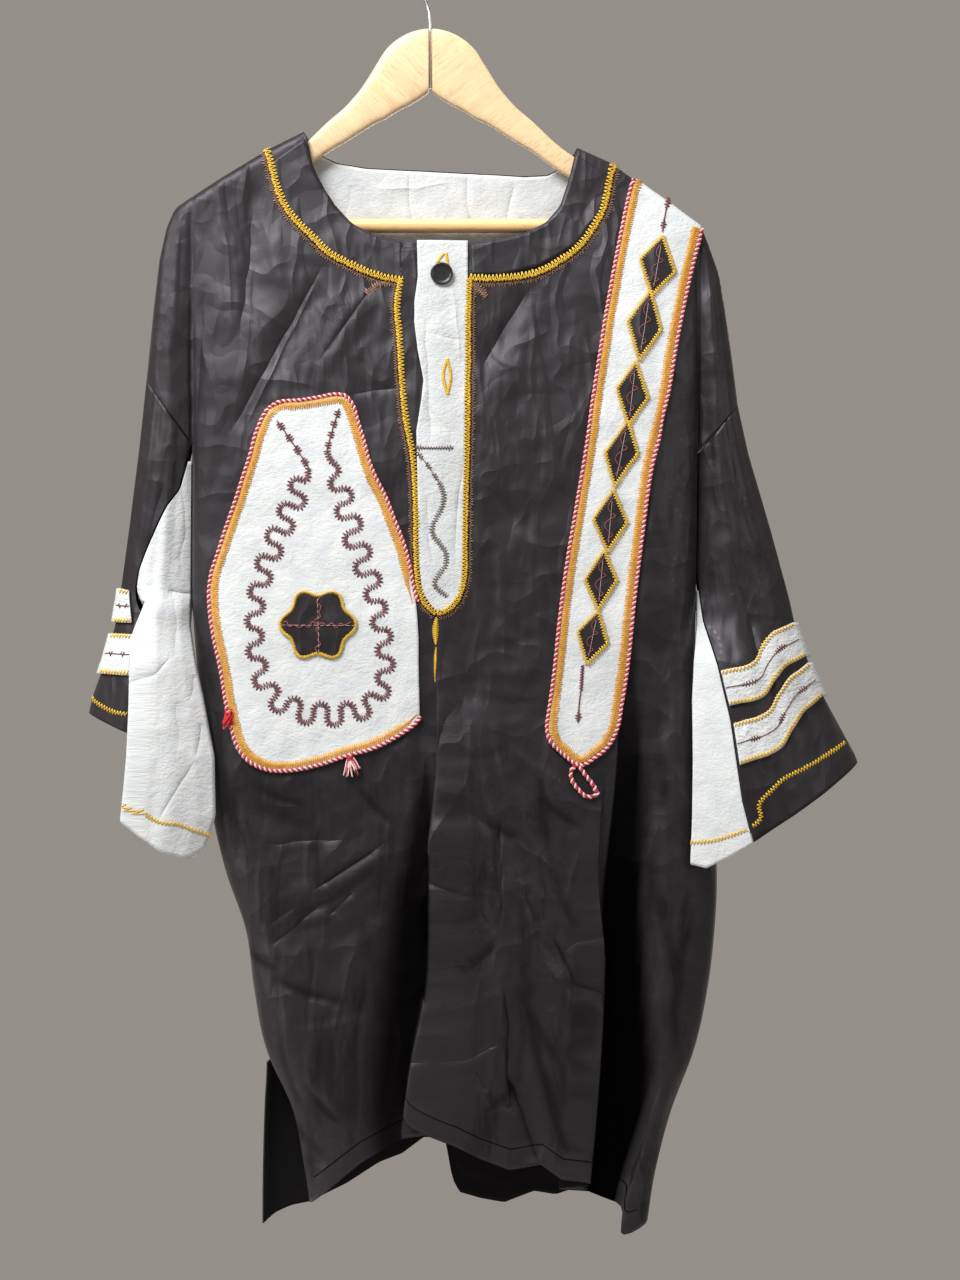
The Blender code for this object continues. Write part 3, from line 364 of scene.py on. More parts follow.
# pressed creases of each cloth: x, z of both ends, width, depth
pressed = {
    "front": [
        (-91, -285, -167, -428, 3.0, 1.7), (-95, -295, -155, -424, 3.0, -1.2),
        (-45, -299, -95, -370, 4.0, 2.2), (-68, -394, -26, -390, 2.0, 1.0),
        (-149, -235, -160, -348, 4.0, 1.4), (-190, -300, -197, -424, 4.5, 1.6),
        (85, -304, 40, -378, 3.5, 1.5), (23, -652, 2, -780, 4.0, 2.4), (36, -673, 23, -796, 3.5, -1.5),
        (57.5, -748, 60.5, -842, 2.6, 2.4), (80, -806, 89, -846, 4.0, 2.6),
        (97, -842, 142, -928, 4.5, 3.0), (144, -838, 108, -866, 3.0, 1.4),
        (70, -768, 112, -797, 3.5, -1.2), (21, -794, 57, -846, 4.5, 2.6), (11, -803, 0, -862, 3.5, 2.2),
        (19, -870, 13, -910, 3.5, 2.2), (-36, -771, -98, -812, 5.5, 3.4),
        (-84, -817, -132, -858, 4.5, 2.8), (-61, -810, -85, -834, 3.5, 2.4),
        (-110, -824, -136, -842, 3.5, 1.6), (-136, -772, -70, -769, 4.0, 1.6),
        (-97, -862, -102, -950, 6.0, 1.6), (-62, -858, -88, -960, 7.0, -2.2),
        (-6, -958, 25, -953, 3.0, 2.2), (25, -953, 60, -937, 3.0, 2.2), (39, -959, 49, -977, 2.5, 1.8),
        (49, -977, 70, -992, 2.5, 1.8), (61, -880, 69.5, -1000, 3.5, 2.7),
        (66, -962, 95, -1050, 3.5, 2.7), (2, -973, -19, -989, 2.5, 1.6),
    ],
    "black": [
        (-215, -230, -232, -330, 4, 1.4), (-222, -300, -238, -420, 5, 1.6),
        (-226, -470, -246, -552, 4, 1.6), (-262, -600, -284, -640, 4, 1.6),
        (246, -300, 262, -430, 5, 1.4), (240, -380, 280, -560, 6, -1.6), (252, -520, 290, -660, 5, 1.8),
        (300, -600, 322, -690, 5, 1.6),
    ],
    "back": [
        (-128, -236, -44, -398, 5, 2.2), (-60, -262, -84, -372, 4, -1.4), (142, -262, 96, -352, 4, 1.6),
        (176, -300, 104, -520, 6, 2.4), (-24, -470, -96, -742, 6, 2.8), (-150, -430, -120, -560, 5, 1.6),
        (58, -548, 84, -700, 5, 2.2), (84, -700, 66, -905, 6, 2.6), (-132, -612, -8, -548, 4, 1.8),
        (8, -640, 128, -676, 4, 1.6), (-40, -800, 2, -968, 5, 2.2), (-112, -842, -92, -1030, 6, 2.4),
        (150, -742, 128, -1000, 6, 2.2), (186, -560, 168, -700, 5, 1.6), (20, -905, 44, -1040, 5, -1.8),
    ],
    "facing": [
        (-18, -200, -15, -250, 2.5, 1.2), (30, -200, 36, -256, 3.0, 1.5),
        (-70, -212, -74, -248, 3.0, 1.1), (72, -208, 62, -250, 3.0, 1.0),
        (-50, -214, 20, -210, 2.5, -0.8),
    ],
    "placket": [
        (-4, -330, 2, -440, 2.5, 1.2), (-6, -400, 22, -436, 2.5, 1.0), (20, -300, 24, -372, 2.5, -1.0),
        (26, -450, 22, -540, 2.5, 1.2), (-4, -480, 4, -540, 2.5, 1.0), (0, -344, 26, -352, 2.0, 0.8),
    ],
    "gusset": [
        (-209.5, -456, -210.3, -549, 3.0, 1.0), (-220.4, -559, -199.4, -560, 2.5, 2.0),
        (-214, -563, -213, -618, 5.0, 1.4), (-214, -614, -238, -644, 2.5, 1.5),
        (-210, -652, -208.6, -694.5, 4.0, 1.2), (-191.8, -671, -194.3, -701, 2.0, 1.2),
        (-194.3, -701, -223.8, -751, 2.0, 1.2), (-197.7, -630, -201.4, -655, 3.0, 1.0),
    ],
}
blackDamask, frontDamask, backDamask = (damaskMaterial(key + "Damask", pressed[key])
                                        for key in ("black", "front", "back"))
damaskReverse = reverseMaterial()
whiteCotton = cottonMaterial("whiteCotton")
bandCotton = cottonMaterial("bandCotton", 1.9)
# the facing and the placket are dimmer copies of the white cotton: painted shade
facingCotton = cottonMaterial("facingCotton", 1.0, pressed["facing"], 0.93)
placketCotton = cottonMaterial("placketCotton", 1.2, pressed["placket"], 0.88)
gussetCotton = cottonMaterial("gussetCotton", 1.0, pressed["gusset"])
goldThread = threadMaterial("goldThread", (0.74, 0.46, 0.018), (0.50, 0.27, 0.02))
amberThread = threadMaterial("amberThread", (0.74, 0.335, 0.008), (0.44, 0.17, 0.012))
maroonThread = threadMaterial("maroonThread", (0.115, 0.012, 0.022), (0.20, 0.06, 0.07))
claretThread = threadMaterial("claretThread", (0.230, 0.035, 0.035), (0.30, 0.09, 0.08))
brownThread = threadMaterial("brownThread", (0.120, 0.075, 0.060), (0.25, 0.19, 0.17))
rustThread = threadMaterial("rustThread", (0.38, 0.200, 0.125), (0.17, 0.09, 0.06))
redYarn = threadMaterial("redYarn", (0.42, 0.012, 0.035), (0.30, 0.02, 0.04), 0.6, 0.7)
tuftYarn = threadMaterial("tuftYarn", (0.62, 0.014, 0.030), (0.40, 0.02, 0.04), 0.6, 0.7)
blackThread = threadMaterial("blackThread", (0.0016, 0.0014, 0.0015), (0.004, 0.004, 0.004), 0.4, 0.6)
feed(blackThread.node_tree.nodes["Principled BSDF"], {"Specular IOR Level": 0.0, "Sheen Weight": 0.0})
pinkYarn = threadMaterial("pinkYarn", (0.78, 0.50, 0.48), (0.85, 0.66, 0.62), 0.6, 0.7)
greyThread = threadMaterial("greyThread", (0.42, 0.36, 0.36), (0.30, 0.24, 0.25))
armWoodLeft, armWoodRight = (woodMaterial(name, (0.76, 0.57, 0.335), (0.64, 0.43, 0.225), turn)
                             for name, turn in (("armWoodLeft", -42), ("armWoodRight", 38)))
# the bar's wood is more orange than the arms', and its colour is raised further as painted light where it
# sits in shade
barWood = woodMaterial("barWood", (0.92, 0.60, 0.28), (0.82, 0.47, 0.18), 0.0)
hookSteel = steelMaterial()
buttonBlack = buttonMaterial()
print("materials ready")

# sizes of the garment in mm; x to the wearer's left, z up from the hook's inner top
garment = {
    "cloth": 1.4,                # damask wall
    "trim": 1.2,                 # applique and bands
    "gap": 0.3,
    "seam": 0.5,                 # half of the opening along a seam
    "shoulderRound": 9.0,        # full depth this far below the shoulder line
    "sideRound": 45.0,           # full depth this far in from the side edge
    "turnUp": 0.9,               # extra lift of the hem's turn-up
    "foldStep": 5.5,             # half the depth between the layers of a fold
}

# shoulder line: x, z
shoulderLine = [
    (-242, -380), (-236, -320), (-231, -277), (-225, -250), (-218, -234), (-203, -224), (-180, -209),
    (-139, -184), (-107, -168), (125, -182), (152, -194), (179, -213), (203, -228), (229, -247),
    (236, -262), (246, -290), (251, -320), (256, -354), (262, -402),
]
# body sections: z, left edge, right edge, front depth, back depth, side seam depth
bodySections = [
    (-160, -203, 229, 10, 10, 9.0), (-225, -203, 229, 12, 12, 9.0), (-300, -203, 228, 20, 16, 9.0),
    (-380, -203, 228, 27, 19, 8.0), (-440, -202, 227, 31, 21, 7.0), (-500, -202.4, 226.3, 33, 23, 6.5),
    (-567, -202.4, 225.6, 35, 24, 6.0), (-590, -201.6, 225.6, 36, 25, 0.5),
    (-610, -200, 225.8, 36, 25, 0.5), (-650, -197, 230, 36, 25, 0.5), (-700, -193, 235, 37, 26, 0.5),
    (-750, -186, 240, 38, 26, 0.5), (-800, -174, 244, 38, 27, 0.5), (-850, -157, 242, 39, 27, 0.5),
    (-900, -150, 236, 40, 28, 0.5), (-950, -140, 225, 40, 28, 0.5), (-1000, -117, 205, 40, 28, 7.0),
    (-1050, -106, 191, 40, 29, 12.0), (-1110, -97, 181, 40, 29, 15.0),
]
# the back's own edges below the slits: z, left edge, right edge
backEdges = [
    (-160, -203, 229), (-900, -150, 236), (-960, -140, 222), (-1000, -142, 201), (-1050, -144, 186),
    (-1110, -145, 171),
]
# arm sections: z, outer fold, inner edge, front depth of the inner edge, front swell, back depth of the
# inner edge, back swell
armLeft = [
    (-224, -203, -203, 9, 0, 9, 0), (-234, -218, -203, 9, 0, 9, 0), (-250, -225, -203, 9, 1, 9, 1),
    (-277, -231, -203, 9, 3, 9, 4), (-320, -236, -203, 9, 6, 9, 7), (-380, -242, -203, 8, 9, 8, 11),
    (-436, -248, -203, 7, 11, 7, 16), (-500, -256, -203, 7, 13, 7, 24), (-567, -265, -203, 8, 14, 4, 32),
    (-590, -269, -203, 12, 14, -8, 35), (-620, -277, -197, 24, 13, -20, 39),
    (-650, -288, -190, 28, 13, -24, 42), (-700, -299, -180, 32, 12, -28, 46),
    (-750, -303, -179, 33, 11, -29, 48), (-790, -306, -193, 33, 10, -29, 48),
]
armRight = [
    (-247, 229, 229, 9, 0, 9, 0), (-262, 236, 229, 9, 0, 9, 1), (-290, 246, 228, 9, 3, 9, 4),
    (-320, 251, 228, 9, 6, 9, 7), (-354, 256, 228, 9, 8, 9, 9), (-402, 262, 228, 8, 10, 8, 13),
    (-443, 271, 228, 7, 11, 7, 17), (-508, 290, 227, 7, 13, 7, 26), (-567, 306, 226, 8, 14, 4, 34),
    (-590, 311, 226, 12, 14, -8, 37), (-620, 322, 222, 25, 14, -21, 41),
    (-652, 336, 220, 30, 13, -26, 45), (-700, 362, 220, 36, 12, -32, 50),
    (-750, 380, 219, 40, 11, -36, 52), (-795, 388, 217, 42, 10, -38, 52),
]
# seam of sleeve and gusset, in the sleeve's fold: z, x of the fold edge, half width, strength
gussetSeamLeft = [
    (-437, -203.5, 6, 0), (-455, -207.7, 6, 0), (-474, -212.8, 7, 0), (-489, -222.9, 7, 0),
    (-506, -231.3, 7, 0), (-527, -240.6, 8, 0), (-542, -246.5, 8, 0), (-556, -248.7, 9, 0),
    (-600, -249, 10, 1), (-700, -251, 10, 1), (-760, -257, 10, 1),
]
gussetSeamRight = [
    (-545, 226.6, 4, 0), (-585, 231.6, 4, 0), (-623, 241.6, 4, 0), (-669, 251.6, 4, 0),
    (-707, 256.6, 4, 0), (-736, 260.6, 4, 0), (-772, 269.6, 4, 0),
]
# layered folds of the front: z, x of the fold edge, half width, strength
foldCentre = [
    (-300, 0, 13, 0), (-585, -8, 13, 0), (-620, -8, 13, 0.12), (-655, -7, 14, 0.28), (-695, -4, 15, 0.5),
    (-735, -2, 16, 0.75), (-780, -1, 17, 1), (-818, -1, 18, 1), (-902, -5, 20, 1), (-952, -15, 22, 1),
    (-1010, -23, 22, 1),
]
foldValley = [
    (-300, 160, 9, 0), (-690, 158, 9, 0), (-735, 155, 10, 0.17), (-775, 151, 10, 0.36),
    (-820, 147, 11, 0.7), (-870, 147, 12, 1), (-985, 141, 12, 1), (-1060, 134, 12, 1),
]
foldTail = [
    (-300, 200, 7, 0), (-900, 200, 7, 0), (-945, 195, 7, 0), (-985, 185, 7, 0.2), (-1032, 170, 8, 0.2),
    (-1060, 160, 8, 0.2), (-1100, 150, 9, 0.2),
]
frontFolds = ((foldCentre, 1, 1), (foldValley, -1, -1), (foldTail, 1, 1))
# shaded hollows beside the folds: z, reach from the fold's edge, strength
centreHollow = [
    (-680, 4, 0), (-720, 12, 0.7), (-770, 28, 0.85), (-820, 52, 0.95), (-900, 62, 0.95), (-990, 50, 0.9),
    (-1050, 30, 0.8),
]
valleyHollow = [
    (-560, 8, 0), (-620, 16, 0.5), (-700, 26, 0.9), (-800, 38, 1.0), (-900, 46, 1.0), (-960, 56, 1.0),
    (-1060, 56, 1.0),
]
# main creases, as in the solids: x top, z top, x foot, z foot, width, depth (ridge when negative)
frontCreases = [
    (-148, -200, -150, -340, 12, 2.5), (-91, -290, -168, -440, 15, 2.5), (-41, -300, -95, -378, 9, -2.5),
    (84, -300, 38, -385, 10, 3.0), (196, -560, 170, -800, 20, 8.0), (172, -780, 164, -1120, 17, 9.0),
    (36, -610, 2, -785, 11, 3.0), (56, -740, 66, -960, 12, -4.0), (62, -900, 95, -1060, 11, 5.0),
    (97, -840, 145, -930, 12, 3.0), (-25, -775, -135, -842, 13, -3.5), (-71, -815, -110, -842, 9, 3.0),
]
backCreases = [
    (-120, -260, -60, -520, 22, -3.5), (130, -260, 90, -540, 22, -3.5), (-40, -480, -70, -1080, 20, 5.0),
    (60, -420, 95, -1090, 20, -6.0), (150, -600, 150, -1090, 22, 5.0),
    (-130, -640, -100, -1090, 18, -4.0),
]
# smaller creases that only the shells carry, same columns
frontFine = [
    (-150, -205, -146, -300, 5, 1.2), (-172, -226, -176, -420, 8, -1.4),
    (-128, -232, -118, -330, 6, -1.0), (-78, -290, -140, -395, 4.5, 1.3),
    (-60, -296, -128, -400, 4.5, -1.2), (-150, -400, -192, -520, 5, 1.0), (-40, -330, -92, -398, 4, 1.2),
    (-30, -390, -70, -394, 3.5, 1.2), (-146, -404, -118, -406, 3, 1.0), (95, -292, 60, -372, 4, 1.5),
    (70, -312, 34, -400, 4.5, -1.2), (110, -300, 60, -430, 8, -1.2), (60, -380, 100, -470, 10, 0.9),
    (40, -420, 36, -560, 6, 1.0), (52, -440, 50, -600, 7, -0.9), (36, -610, 92, -598, 4, 1.0),
    (40, -630, 98, -622, 4.5, -1.0), (30, -648, 92, -652, 5, 1.1), (34, -672, 86, -668, 4, -0.9),
    (26, -560, 92, -545, 5, 0.8), (20, -700, 70, -690, 5, 0.9), (46, -705, 60, -850, 6, -1.6),
    (58, -750, 60, -830, 4, 1.6), (78, -800, 92, -870, 6, -1.3), (100, -780, 128, -852, 5, 1.2),
    (84, -842, 140, -926, 5, -1.6), (70, -880, 118, -962, 5, 1.5), (48, -905, 84, -1000, 6, -1.8),
    (-124, -838, -30, -778, 5, 1.4), (-138, -846, -42, -800, 5, -1.3), (-112, -846, -66, -822, 4, 1.2),
    (-142, -826, -96, -800, 4, -1.0), (-128, -870, -92, -1000, 9, -1.2), (-60, -830, -28, -930, 10, 1.4),
    (-84, -880, -66, -1010, 8, -1.0), (-30, -860, -26, -960, 6, 1.2), (-168, -700, -150, -790, 7, 1.1),
    (-130, -712, -60, -722, 8, -1.0), (-150, -735, -90, -760, 8, 1.2), (196, -300, 206, -470, 9, 1.5),
    (214, -420, 192, -560, 6, -1.2), (205, -560, 186, -700, 7, -1.5), (186, -690, 200, -860, 6, 1.6),
    (214, -700, 208, -850, 6, -1.3), (190, -850, 196, -960, 7, -1.4), (206, -900, 178, -1020, 5, 1.3),
    (176, -640, 160, -760, 7, -1.8), (0, -640, -6, -760, 5, 1.3), (96, -700, 104, -790, 5, 1.6),
    (112, -640, 104, -742, 5, -1.6), (84, -905, 116, -1010, 4.5, 2.0), (104, -900, 132, -980, 4.5, -1.8),
    (196, -640, 206, -760, 5, 1.8), (214, -640, 222, -740, 5, -1.6), (200, -800, 214, -905, 4.5, 2.0),
    (224, -820, 208, -960, 4.5, 1.8), (-176, -640, -160, -770, 5, 1.8), (-150, -720, -96, -742, 4.5, 1.6),
    (-60, -722, -24, -760, 4.5, 1.6), (-126, -900, -104, -1004, 4.5, 1.6), (50, -470, 92, -520, 5, 1.4),
    (44, -560, 84, -604, 5, 1.4), (196, -380, 214, -520, 5, 1.6), (-140, -880, -60, -905, 5, 2.0),
    (-120, -930, -50, -915, 4.5, -1.8), (-110, -960, -70, -1010, 4.5, 2.2),
    (-90, -900, -96, -990, 4.5, -1.8), (-50, -880, -60, -980, 4.5, 2.0),
    (-134, -985, -84, -1036, 4.5, 1.8), (20, -880, 60, -850, 4.5, 2.0), (70, -850, 120, -890, 4.5, -1.8),
    (40, -1000, 80, -960, 4.5, 2.0), (100, -960, 120, -1040, 4.5, 2.2), (10, -920, 40, -900, 4.5, -1.8),
    (30, -740, 80, -770, 4.5, 1.8), (90, -730, 130, -760, 4.5, 1.8), (64, -690, 110, -720, 4.5, -1.6),
    (-160, -860, -120, -880, 4.5, 1.8),
]
backFine = [
    (-172, -300, -140, -470, 8, 1.6), (-96, -300, -128, -560, 9, -1.5), (-36, -240, 22, -410, 9, 1.6),
    (34, -470, 6, -760, 11, -1.8), (96, -268, 162, -400, 8, 1.6), (186, -330, 176, -600, 8, -1.6),
    (-124, -660, -84, -900, 9, 2.0), (-30, -720, 16, -1040, 9, 1.8), (132, -800, 108, -1050, 9, -2.0),
    (192, -560, 170, -830, 8, 1.8), (-72, -520, 30, -640, 8, 1.4), (44, -600, 158, -690, 8, -1.4),
    (-152, -500, -72, -590, 7, 1.4), (6, -842, 96, -812, 7, 1.5), (-138, -940, -62, -880, 7, -1.4),
    (60, -900, 84, -1050, 8, 1.6), (-96, -940, -116, -1080, 7, 1.6),
]
# hems: z by stretch of the front (whole numbers are the borders of its folds), and by share of the back
frontHem = [
    (0, -1078), (0.33, -1056), (0.6, -1038), (1, -1018), (1.28, -1008), (1.5, -1000), (1.72, -996),
    (2, -1022), (2.22, -1033), (2.5, -1043), (2.8, -1040), (3, -1052), (3.28, -1056), (3.72, -1062),
    (5, -1074), (5.28, -1080), (5.72, -1101), (6, -1099), (7, -1093),
]
backHem = [
    (0.0, -1105), (0.03, -1098), (0.07, -1093), (0.125, -1090), (0.16, -1084), (0.22, -1074),
    (0.30, -1056), (0.36, -1048), (0.41, -1034), (0.465, -1034), (0.50, -1070), (0.524, -1082),
    (0.58, -1087), (0.65, -1091), (0.725, -1081), (0.785, -1084), (0.845, -1077), (0.91, -1070),
    (1.0, -1066),
]
# where the front's columns start on shoulders and neck: stretch, x
frontTop = [
    (0, -203), (0.523, -107), (0.57, -102), (0.65, -91), (0.76, -66), (0.88, -40), (1, -17), (1.5, 8),
    (2, 35), (2.165, 48), (2.33, 64), (2.496, 82), (2.628, 98), (2.72, 110), (2.79, 118.5), (2.83, 123),
    (2.86, 125), (3, 136), (4, 153), (5, 196), (6, 208), (7, 228),
]
neckStretch = (0.523, 2.86)
frontNeck = [
    (-107, -168), (-103, -184), (-99, -201), (-91, -217), (-80, -234), (-66, -249), (-45, -260),
    (-12, -265), (34, -265), (60, -262), (80, -257), (98, -248), (110, -234), (117, -213), (121, -198),
    (124, -187), (125, -182),
]
backNeck = [
    (-107, -168), (-105, -174), (-97, -184), (-80, -192), (-55, -196), (8, -199), (80, -203), (100, -202),
    (114, -195), (123, -187), (125, -182),
]
bandEdgeLeft = [(-137, -190), (-130, -218), (-118, -244), (-101, -265), (-76, -283), (-50, -293), (-24, -298)]
bandEdgeRight = [(154, -203), (152, -218), (143, -244), (122, -269), (93, -286), (62, -294), (35, -294)]
# applique outlines: z, left x, right x
patchOutline = [
    (-398, -90, -72), (-401.5, -112, -67.5), (-405, -130, -65.5), (-412, -137, -63), (-427, -144, -58),
    (-447.5, -149.5, -52), (-465.5, -155.5, -45.7), (-490.5, -163, -34), (-510.8, -170, -26),
    (-529, -175.7, -19.6), (-547, -181, -15.5), (-561.5, -183, -12.5), (-577, -182.5, -10.5),
    (-599.5, -179, -9), (-626.5, -173.5, -9), (-653.7, -169, -8.5), (-666, -166.5, -8.5),
    (-674, -164.5, -15), (-682.2, -162, -27.5), (-692.2, -158.5, -47.5), (-697.8, -154.5, -68),
    (-703, -149, -84), (-707, -141, -98), (-710.3, -128, -113),
]
overlapOutline = [
    (-268, -11, 32), (-296, -10, 32), (-317, -13, 32), (-334, -13, 31), (-359, -10, 31), (-384, -5, 31),
    (-401, -7, 30), (-426, -11, 30), (-468, -10, 29), (-535, -9, 28), (-562, -6, 27), (-571, 0, 20),
    (-578, 6, 12),
]
stripLeft = [
    (172.5, -210.5), (169, -226), (156, -283), (143, -359), (132, -434), (116, -535), (104, -635),
    (99, -675), (104, -690), (122, -706),
]
stripRight = [
    (229, -251.5), (225, -268), (211, -325), (198, -400), (185, -459), (173, -552), (163, -636),
    (157, -675), (150, -688), (131, -703),
]
# diamonds: x centre, z centre, half width, half height, slant of the long axis, tilt of the short axis
diamondRows = [
    (191.9, -286.3, 14.4, 23.2, 4.2, 5.5), (180.8, -337.5, 13.8, 26.6, 4.4, 3.6),
    (170, -395.3, 13, 24.4, 2.9, 4.2), (160.7, -445.8, 13.8, 25.1, 5, 0.4),
    (151.3, -502.3, 14.2, 23.4, 2.1, 1.7), (143.4, -551.9, 13.4, 22.6, 2.1, 0.4),
    (136.4, -599.8, 12.5, 20, 4.2, 5),
]
underEdge = [(-270, -25), (-314, -27), (-350, -25), (-384, -23), (-418, -19.5), (-446, -14.5)]   # z, x
trimRumple = {"patch": 0.5, "strip": 0.4, "flower": 0.6, "diamond": 0.5}    # heights of puckers (mm)


# smooth value of a table's column: cubic through its rows with the rows' own mean slopes
def lookUp(table, column, at):
    rows = np.array(sorted(table), dtype=float)
    key, value = rows[:, 0], rows[:, column]
    slope = np.gradient(value, key)
    at = np.clip(at, key[0], key[-1])
    i = np.clip(np.searchsorted(key, at) - 1, 0, len(key) - 2)
    step = key[i + 1] - key[i]
    s = (at - key[i]) / step
    start = (1 + 2 * s) * (1 - s) ** 2 * value[i] + s * (1 - s) ** 2 * step * slope[i]
    end = s * s * (3 - 2 * s) * value[i + 1] + s * s * (s - 1) * step * slope[i + 1]
    return start + end


# straight-line value of a table's column
def lineUp(table, column, at):
    rows = np.array(sorted(table), dtype=float)
    return np.interp(at, rows[:, 0], rows[:, column])


# points along an open outline at fractions 0 to 1 of its length
def along(points, at):
    points = np.array(points, dtype=float)
    run = np.concatenate([[0], np.cumsum(np.hypot(*np.diff(points, axis=0).T))])
    return np.interp(at, run / run[-1], points[:, 0]), np.interp(at, run / run[-1], points[:, 1])


# smooth step from 0 to 1: 3 t squared minus 2 t cubed
def ease(t):
    t = np.clip(t, 0, 1)
    return t * t * (3 - 2 * t)


# quarter circle: 0 at an edge, 1 at full depth
def rounding(t):
    return np.sqrt(1 - (1 - np.clip(t, 0, 1)) ** 2)


# soft creases: each a bell across its line that fades at both ends of its run
def creaseDepth(creases, x, z):
    total = np.zeros(np.broadcast(x, z).shape)
    for xTop, zTop, xFoot, zFoot, width, depth in creases:
        run = np.hypot(xFoot - xTop, zFoot - zTop)
        alongX, alongZ = (xFoot - xTop) / run, (zFoot - zTop) / run
        s = ((x - xTop) * alongX + (z - zTop) * alongZ) / run
        bend = 0.06 * run * np.sin(np.pi * np.clip(s, 0, 1)) * (1 if width < 10 else 0)
        off = (x - xTop) * alongZ - (z - zTop) * alongX - bend
        total = total + depth * np.exp(-(off / width) ** 2) * ease(4 * s) * ease(4 * (1 - s))
    return total


# lattice noise from -1 to 1: corner values from a sine hash, blended with smooth steps
def lattice(x, z, cellX, cellZ, seed):
    a, b = x / cellX, z / cellZ
    i, j = np.floor(a), np.floor(b)
    s, t = ease(a - i), ease(b - j)

    def corner(p, q):
        value = np.sin((i + p) * 127.1 + (j + q) * 311.7 + seed * 74.7) * 43758.5453
        return 2 * (value - np.floor(value)) - 1
    top = corner(0, 0) * (1 - s) + corner(1, 0) * s
    foot = corner(0, 1) * (1 - s) + corner(1, 1) * s
    return top * (1 - t) + foot * t


# unironed cotton: two turned layers of noise, the second pinched into thin ridges
def rumple(x, z, size, seed):
    a, b = 0.8 * x + 0.6 * z, -0.6 * x + 0.8 * z
    broad = lattice(a, b, 60, 34, seed) + 0.5 * lattice(a, b, 27, 19, seed + 1)
    pinched = 1 - 2.4 * np.abs(lattice(0.5 * x - 0.87 * z, 0.87 * x + 0.5 * z, 38, 90, seed + 2))
    return size * (0.55 * broad + 0.45 * np.clip(pinched, -0.4, 1))


# distance of a body panel from the middle plane: rounded in at the sides and shoulders, less its creases
def bodyDepth(x, z, side):
    full = lookUp(bodySections, 2 + side, z)
    atSeam = lineUp(bodySections, 5, z)
    left, right = bodyEdges(z, side)
    inward = np.minimum(x - left, right - x)
    below = lineUp(shoulderLine, 1, x) - z
    depth = atSeam + (full - atSeam) * rounding(inward / garment["sideRound"])
    depth = garment["seam"] + (depth - garment["seam"]) * rounding(below / garment["shoulderRound"])
    main = frontCreases if side == 1 else backCreases
    fine = frontFine if side == 1 else backFine
    creasing = rumple(x, z, 0.9, 3 * side) + 0.8 * creaseDepth(fine, x, z)
    return depth - (creaseDepth(main, x, z) + creasing) * ease(inward / 30) * ease(below / 40)


# left and right x of a panel at heights; the back's own edges below the slits
def bodyEdges(z, side):
    left, right = lookUp(bodySections, 1, z), lookUp(bodySections, 2, z)
    if side == 2:
        left = np.where(z < -960, lookUp(backEdges, 1, z), left)
        right = np.where(z < -960, lookUp(backEdges, 2, z), right)
    return left, right


# a layered fold: the cloth slides sideways by a sine and steps in depth by a sine across the fold
def foldOver(across, z, table, topSide, kept):
    edge, half, strength = (lookUp(table, column, z) for column in (1, 2, 3))
    strength = np.clip(strength, 0, 1)
    centre = edge + topSide * 1.03 * half
    t = (across - centre) / half
    inside = np.clip(t, -1, 1)
    shift = -half * 1.5 * strength * np.sin(np.pi * inside)
    fade = np.exp(-(np.abs(t) - np.abs(inside)) * half / 45)
    step = garment["foldStep"] * ease(2.2 * strength) * (topSide * np.sin(np.pi * inside / 2) + kept) * fade
    return shift, step


# the front's middle surface at flat places: its depth, slid and stepped by its three folds
def frontSurface(x, z):
    x, z = np.broadcast_arrays(x, z)
    shift, step = np.zeros(x.shape), np.zeros(x.shape)
    for table, topSide, kept in frontFolds:
        oneShift, oneStep = foldOver(x, z, table, topSide, kept)
        shift, step = shift + oneShift, step + oneStep
    left, right = bodyEdges(z, 1)
    edgeFade = ease(np.minimum(x - left, right - x) / 14)
    return np.stack([x + shift, -(bodyDepth(x, z, 1) + step * edgeFade), z], axis=-1)


# the back's middle surface: flat places set back by its depth
def backSurface(x, z):
    x, z = np.broadcast_arrays(x, z)
    return np.stack([x, bodyDepth(x, z, 2), z], axis=-1)


# an arm's face: place 0 at the outer fold, 1 at the inner edge; a quarter circle plus a swell, with hanging
# waves
def armSurface(table, place, z, side):
    place, z = np.broadcast_arrays(place, z)
    outer, inner = lineUp(table, 1, z), lineUp(table, 2, z)
    seam = garment["seam"]
    if side == 1:
        depth = seam + (lookUp(table, 3, z) - seam) * rounding(place)
        depth = depth + lookUp(table, 4, z) * np.sin(np.pi * place)
    else:
        depth = seam + (lookUp(table, 5, z) - seam) * ease(place)
        depth = depth + lookUp(table, 6, z) * 6.75 * place * (1 - place) ** 2
    below = (table[0][0] - z) / garment["shoulderRound"]
    depth = seam + (depth - seam) * np.where(z > -300, rounding(below), 1)
    x = outer + (inner - outer) * place
    middle = np.clip(4 * place * (1 - place), 0, 1) * ease((table[0][0] - z) / 60)
    waves = 1.3 * np.sin(place * 17 + z / 140 + side) + 0.8 * np.sin(place * 29 - z / 60)
    depth = depth + middle * (0.6 * waves + rumple(x, z, 0.9, 11 + side))
    return np.stack([x, -depth if side == 1 else depth, z], axis=-1)


# points of a surface moved along its normal; the normal is the cross product of two small steps
def lifted(surface, a, b, lift):
    a, b = np.broadcast_arrays(np.asarray(a, float), np.asarray(b, float))
    step = 0.004 if np.abs(a).max() <= 1.5 else 1.5
    overA = surface(a + step, b) - surface(a - step, b)
    overB = surface(a, b + 1.5) - surface(a, b - 1.5)
    normal = np.cross(overA, overB)
    normal /= np.linalg.norm(normal, axis=-1, keepdims=True) + 1e-9
    return surface(a, b) + normal * np.asarray(lift)[..., None]


